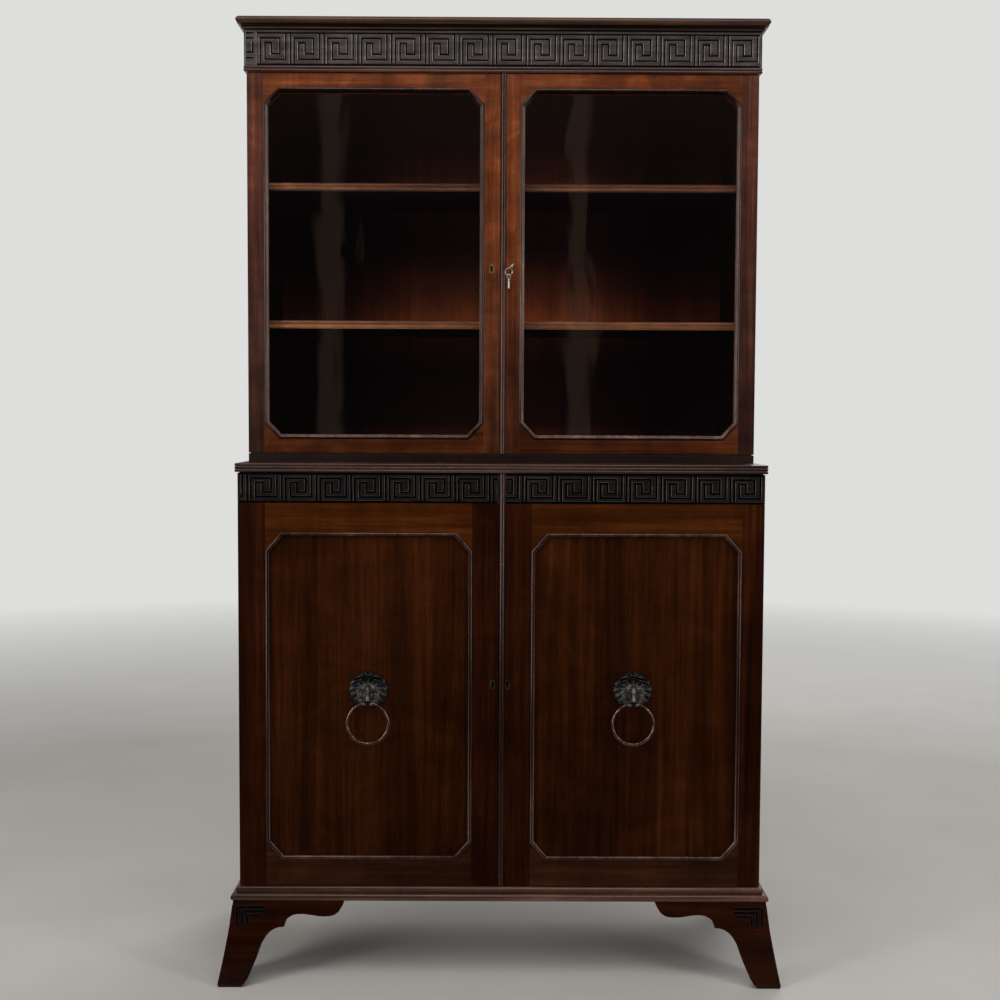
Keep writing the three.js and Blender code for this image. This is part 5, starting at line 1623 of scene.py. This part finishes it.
def lion_mask(word, side):
    place = (side * MASK_X, MASK_FACE, MASK_LEVEL)
    mask = piece(f"lower_{word}_lion_head", [moved(mask_shell(), *place)], [metal("bronze")],
                 f"lower_{word}_door", [f"lower_{word}_lion_mask"], "bronze", smooth=180)
    carve(mask, [moved(ring_channel(), *place)])
    mask.data.set_sharp_from_angle(angle=math.radians(50))


def ring_pull(word, side):
    """A cast ring, thicker at the foot, with a fine groove along the front of its lower half."""
    steps, sides = 96, 24
    rings = []
    for ct, st in circle(1.0, steps):
        low = (1 - ct) / 2
        wire = RING_WIRE[0] + RING_WIRE[1] * low
        ring = []
        for k in range(sides):
            a = 2 * math.pi * k / sides
            off = (a - 0.5 * math.pi) % (2 * math.pi) - math.pi
            here = wire * (1 - 0.22 * low * math.exp(-(off / 0.26) ** 2))
            radius = RING_RADIUS + here * math.cos(a)
            ring.append((radius * st, here * math.sin(a), radius * ct - RING_RADIUS))
        rings.append(ring)
    shell = moved(loft_shell(rings, True), side * MASK_X, MASK_FACE - RING_FORWARD, MASK_LEVEL - RING_DROP)
    piece(f"lower_{word}_pull_ring", [shell], [metal("ring")], f"{word}_ring", [f"lower_{word}_ring"],
          "bronze", smooth=180)


# Studio

BACKDROP = linear(222, 223, 221)
WORLD_LEVEL = 0.22
FLOOR_REACH = 40.0
FLOOR_DROP = 0.0005
# The floor melts into the backdrop between these distances
FLOOR_FADE = (2.2, 6.0)
CARD_TINT = (1.0, 0.66, 0.84, 1)
STREAK_TINT = (1.0, 0.66, 0.5, 1)
CARD_GLOW = 0.02
# Soft upright streaks on the wall card, which the panes reflect: place, half width and strength
STREAKS = [(-0.92, 0.075, 0.16), (0.44, 0.07, 0.16)]
# The pale upper wall of the room: level where it starts, level where it is full, and strength
UPPER_WALL = (2.2, 3.1, 0.08)
CARD_HALF = 3.0
# Two tall side softboxes for the upright beads, one overhead and one behind: place, aim, size, power, colour
LIGHTS = {
    "left_light": ((-2.9, -2.5, 1.7), (0, -0.1, 1.2), (0.8, 3.0), 58, (1.0, 0.99, 0.97)),
    "right_light": ((2.9, -2.3, 1.7), (0, -0.1, 1.2), (0.6, 3.0), 36, (0.97, 0.98, 1.0)),
    "top_light": ((0, -1.9, 3.7), (0, 0, 1.0), (2.6, 1.2), 34, (1, 1, 1)),
    "back_light": ((1.5, 3.4, 3.0), (0, 0, 1.2), (2.4, 2.0), 60, (1, 1, 1)),
}
CAMERA_PLACE = (-0.0125, -Y_SHIFT * MM - 2.7935, 1.137)
CAMERA_PITCH = math.radians(3.356)
CAMERA_YAW = math.radians(0.198)
CAMERA_ROLL = 0.0046
FILM = 36.0
FOCAL = 1.4138


def studio_plane(name, corners, place, material):
    mesh = bpy.data.meshes.new(name)
    mesh.from_pydata(corners, [], [(0, 1, 2, 3)])
    mesh.materials.append(material)
    plane = link_object(name, mesh)
    plane.location = place
    return plane


def build_floor():
    n = new_nodes("floor")
    coords = n.coords()
    distance = n.filled("ShaderNodeVectorMath", "Value", {0: coords}, operation="LENGTH")
    cloud = n.noise(coords, 3.0, 3.0, 0.5)
    colour = n.ramp(cloud, [(0.3, linear(206, 202, 196)), (0.7, linear(212, 208, 202))])
    matt = n.filled("ShaderNodeBsdfPrincipled", 0, {"Base Color": colour, "Roughness": 0.85})
    shader = n.mix_shader(n.span(distance, *FLOOR_FADE, 0.0, 1.0), matt, n.emission(BACKDROP))
    corners = [(x * FLOOR_REACH, y * FLOOR_REACH, 0) for x, y in ((-1, -1), (1, -1), (1, 1), (-1, 1))]
    studio_plane("floor", corners, (0, 0, -FLOOR_DROP), n.finish(shader))


def wall_glow(n):
    """The glow of the wall card, with soft streaks and a paler top. Returns its colour and strength."""
    across, _depth, up = n.split(n.coords())
    strength = CARD_GLOW
    for centre, width, level in STREAKS:
        off = n.maths("ABSOLUTE", n.maths("SUBTRACT", across, centre))
        strip = n.maths("MAXIMUM", n.span(off, width * 0.6, width, level, 0.0), 0.0)
        strength = n.maths("ADD", strength, strip)
    low, high, level = UPPER_WALL
    strength = n.maths("ADD", strength, n.maths("MINIMUM", n.span(up, low, high, 0.0, level), level))
    return n.mix(n.span(strength, CARD_GLOW, 0.08, 0.0, 1.0), CARD_TINT, STREAK_TINT), strength


def build_cards():
    """Dark cards against glare on polished faces. Reflections see both; glass shows the wall card too."""
    half = CARD_HALF
    wall, ground = new_nodes("wall_card"), new_nodes("ground_card")
    cards = [
        studio_plane("wall_card", [(-half, 0, -0.2), (half, 0, -0.2), (half, 0, 4.0), (-half, 0, 4.0)],
                     (0, -4.9, 0), wall.finish(wall.emission(*wall_glow(wall)))),
        studio_plane("ground_card", [(-half, -4.3, 0), (half, -4.3, 0), (half, 0, 0), (-half, 0, 0)],
                     (0, -0.6, 0.02), ground.finish(ground.emission(CARD_TINT, CARD_GLOW))),
    ]
    for card in cards:
        for ray in ("camera", "diffuse", "volume_scatter", "shadow"):
            setattr(card, f"visible_{ray}", False)
    cards[1].visible_transmission = False


def build_lights():
    for name, (place, aim, size, power, colour) in LIGHTS.items():
        data = bpy.data.lights.new(name, "AREA")
        data.shape = "RECTANGLE"
        data.size, data.size_y = size
        data.energy = power
        data.color = colour
        light = link_object(name, data)
        light.location = place
        light.rotation_mode = "QUATERNION"
        light.rotation_quaternion = (Vector(aim) - Vector(place)).to_track_quat("-Z", "Y")
        light.visible_camera = False
        light.visible_transmission = False


def build_world():
    """A pale backdrop for the camera and behind the glass, and a dimmer room for light and reflections."""
    n = Nodes(bpy.data.worlds.new("studio"), "ShaderNodeOutputWorld")
    path = n.add("ShaderNodeLightPath").outputs
    shown = n.maths("MAXIMUM", path["Is Camera Ray"], path["Is Transmission Ray"])
    room = n.filled("ShaderNodeBackground", 0, {"Color": WHITE, "Strength": WORLD_LEVEL})
    back = n.filled("ShaderNodeBackground", 0, {"Color": BACKDROP, "Strength": 1.0})
    bpy.context.scene.world = n.finish(n.mix_shader(shown, room, back))


def build_camera():
    """The photo's viewpoint: eye level near the middle shelf, tilted slightly down, turned slightly right."""
    data = bpy.data.cameras.new("camera")
    data.sensor_width = FILM
    data.lens = FILM * FOCAL
    camera = link_object("camera", data)
    turn = (Matrix.Rotation(-CAMERA_YAW, 4, "Z") @ Matrix.Rotation(math.pi / 2 - CAMERA_PITCH, 4, "X")
            @ Matrix.Rotation(CAMERA_ROLL, 4, "Z"))
    camera.matrix_world = Matrix.Translation(CAMERA_PLACE) @ turn
    bpy.context.scene.camera = camera


def build():
    build_cornice()
    build_upper_case()
    build_lower_case()
    for word, side in SIDES:
        build_glazed_door(word, side)
        build_panelled_door(word, side)
    build_floor()
    build_cards()
    build_lights()
    build_world()
    build_camera()
    bpy.context.scene.view_settings.view_transform = "Standard"


build()
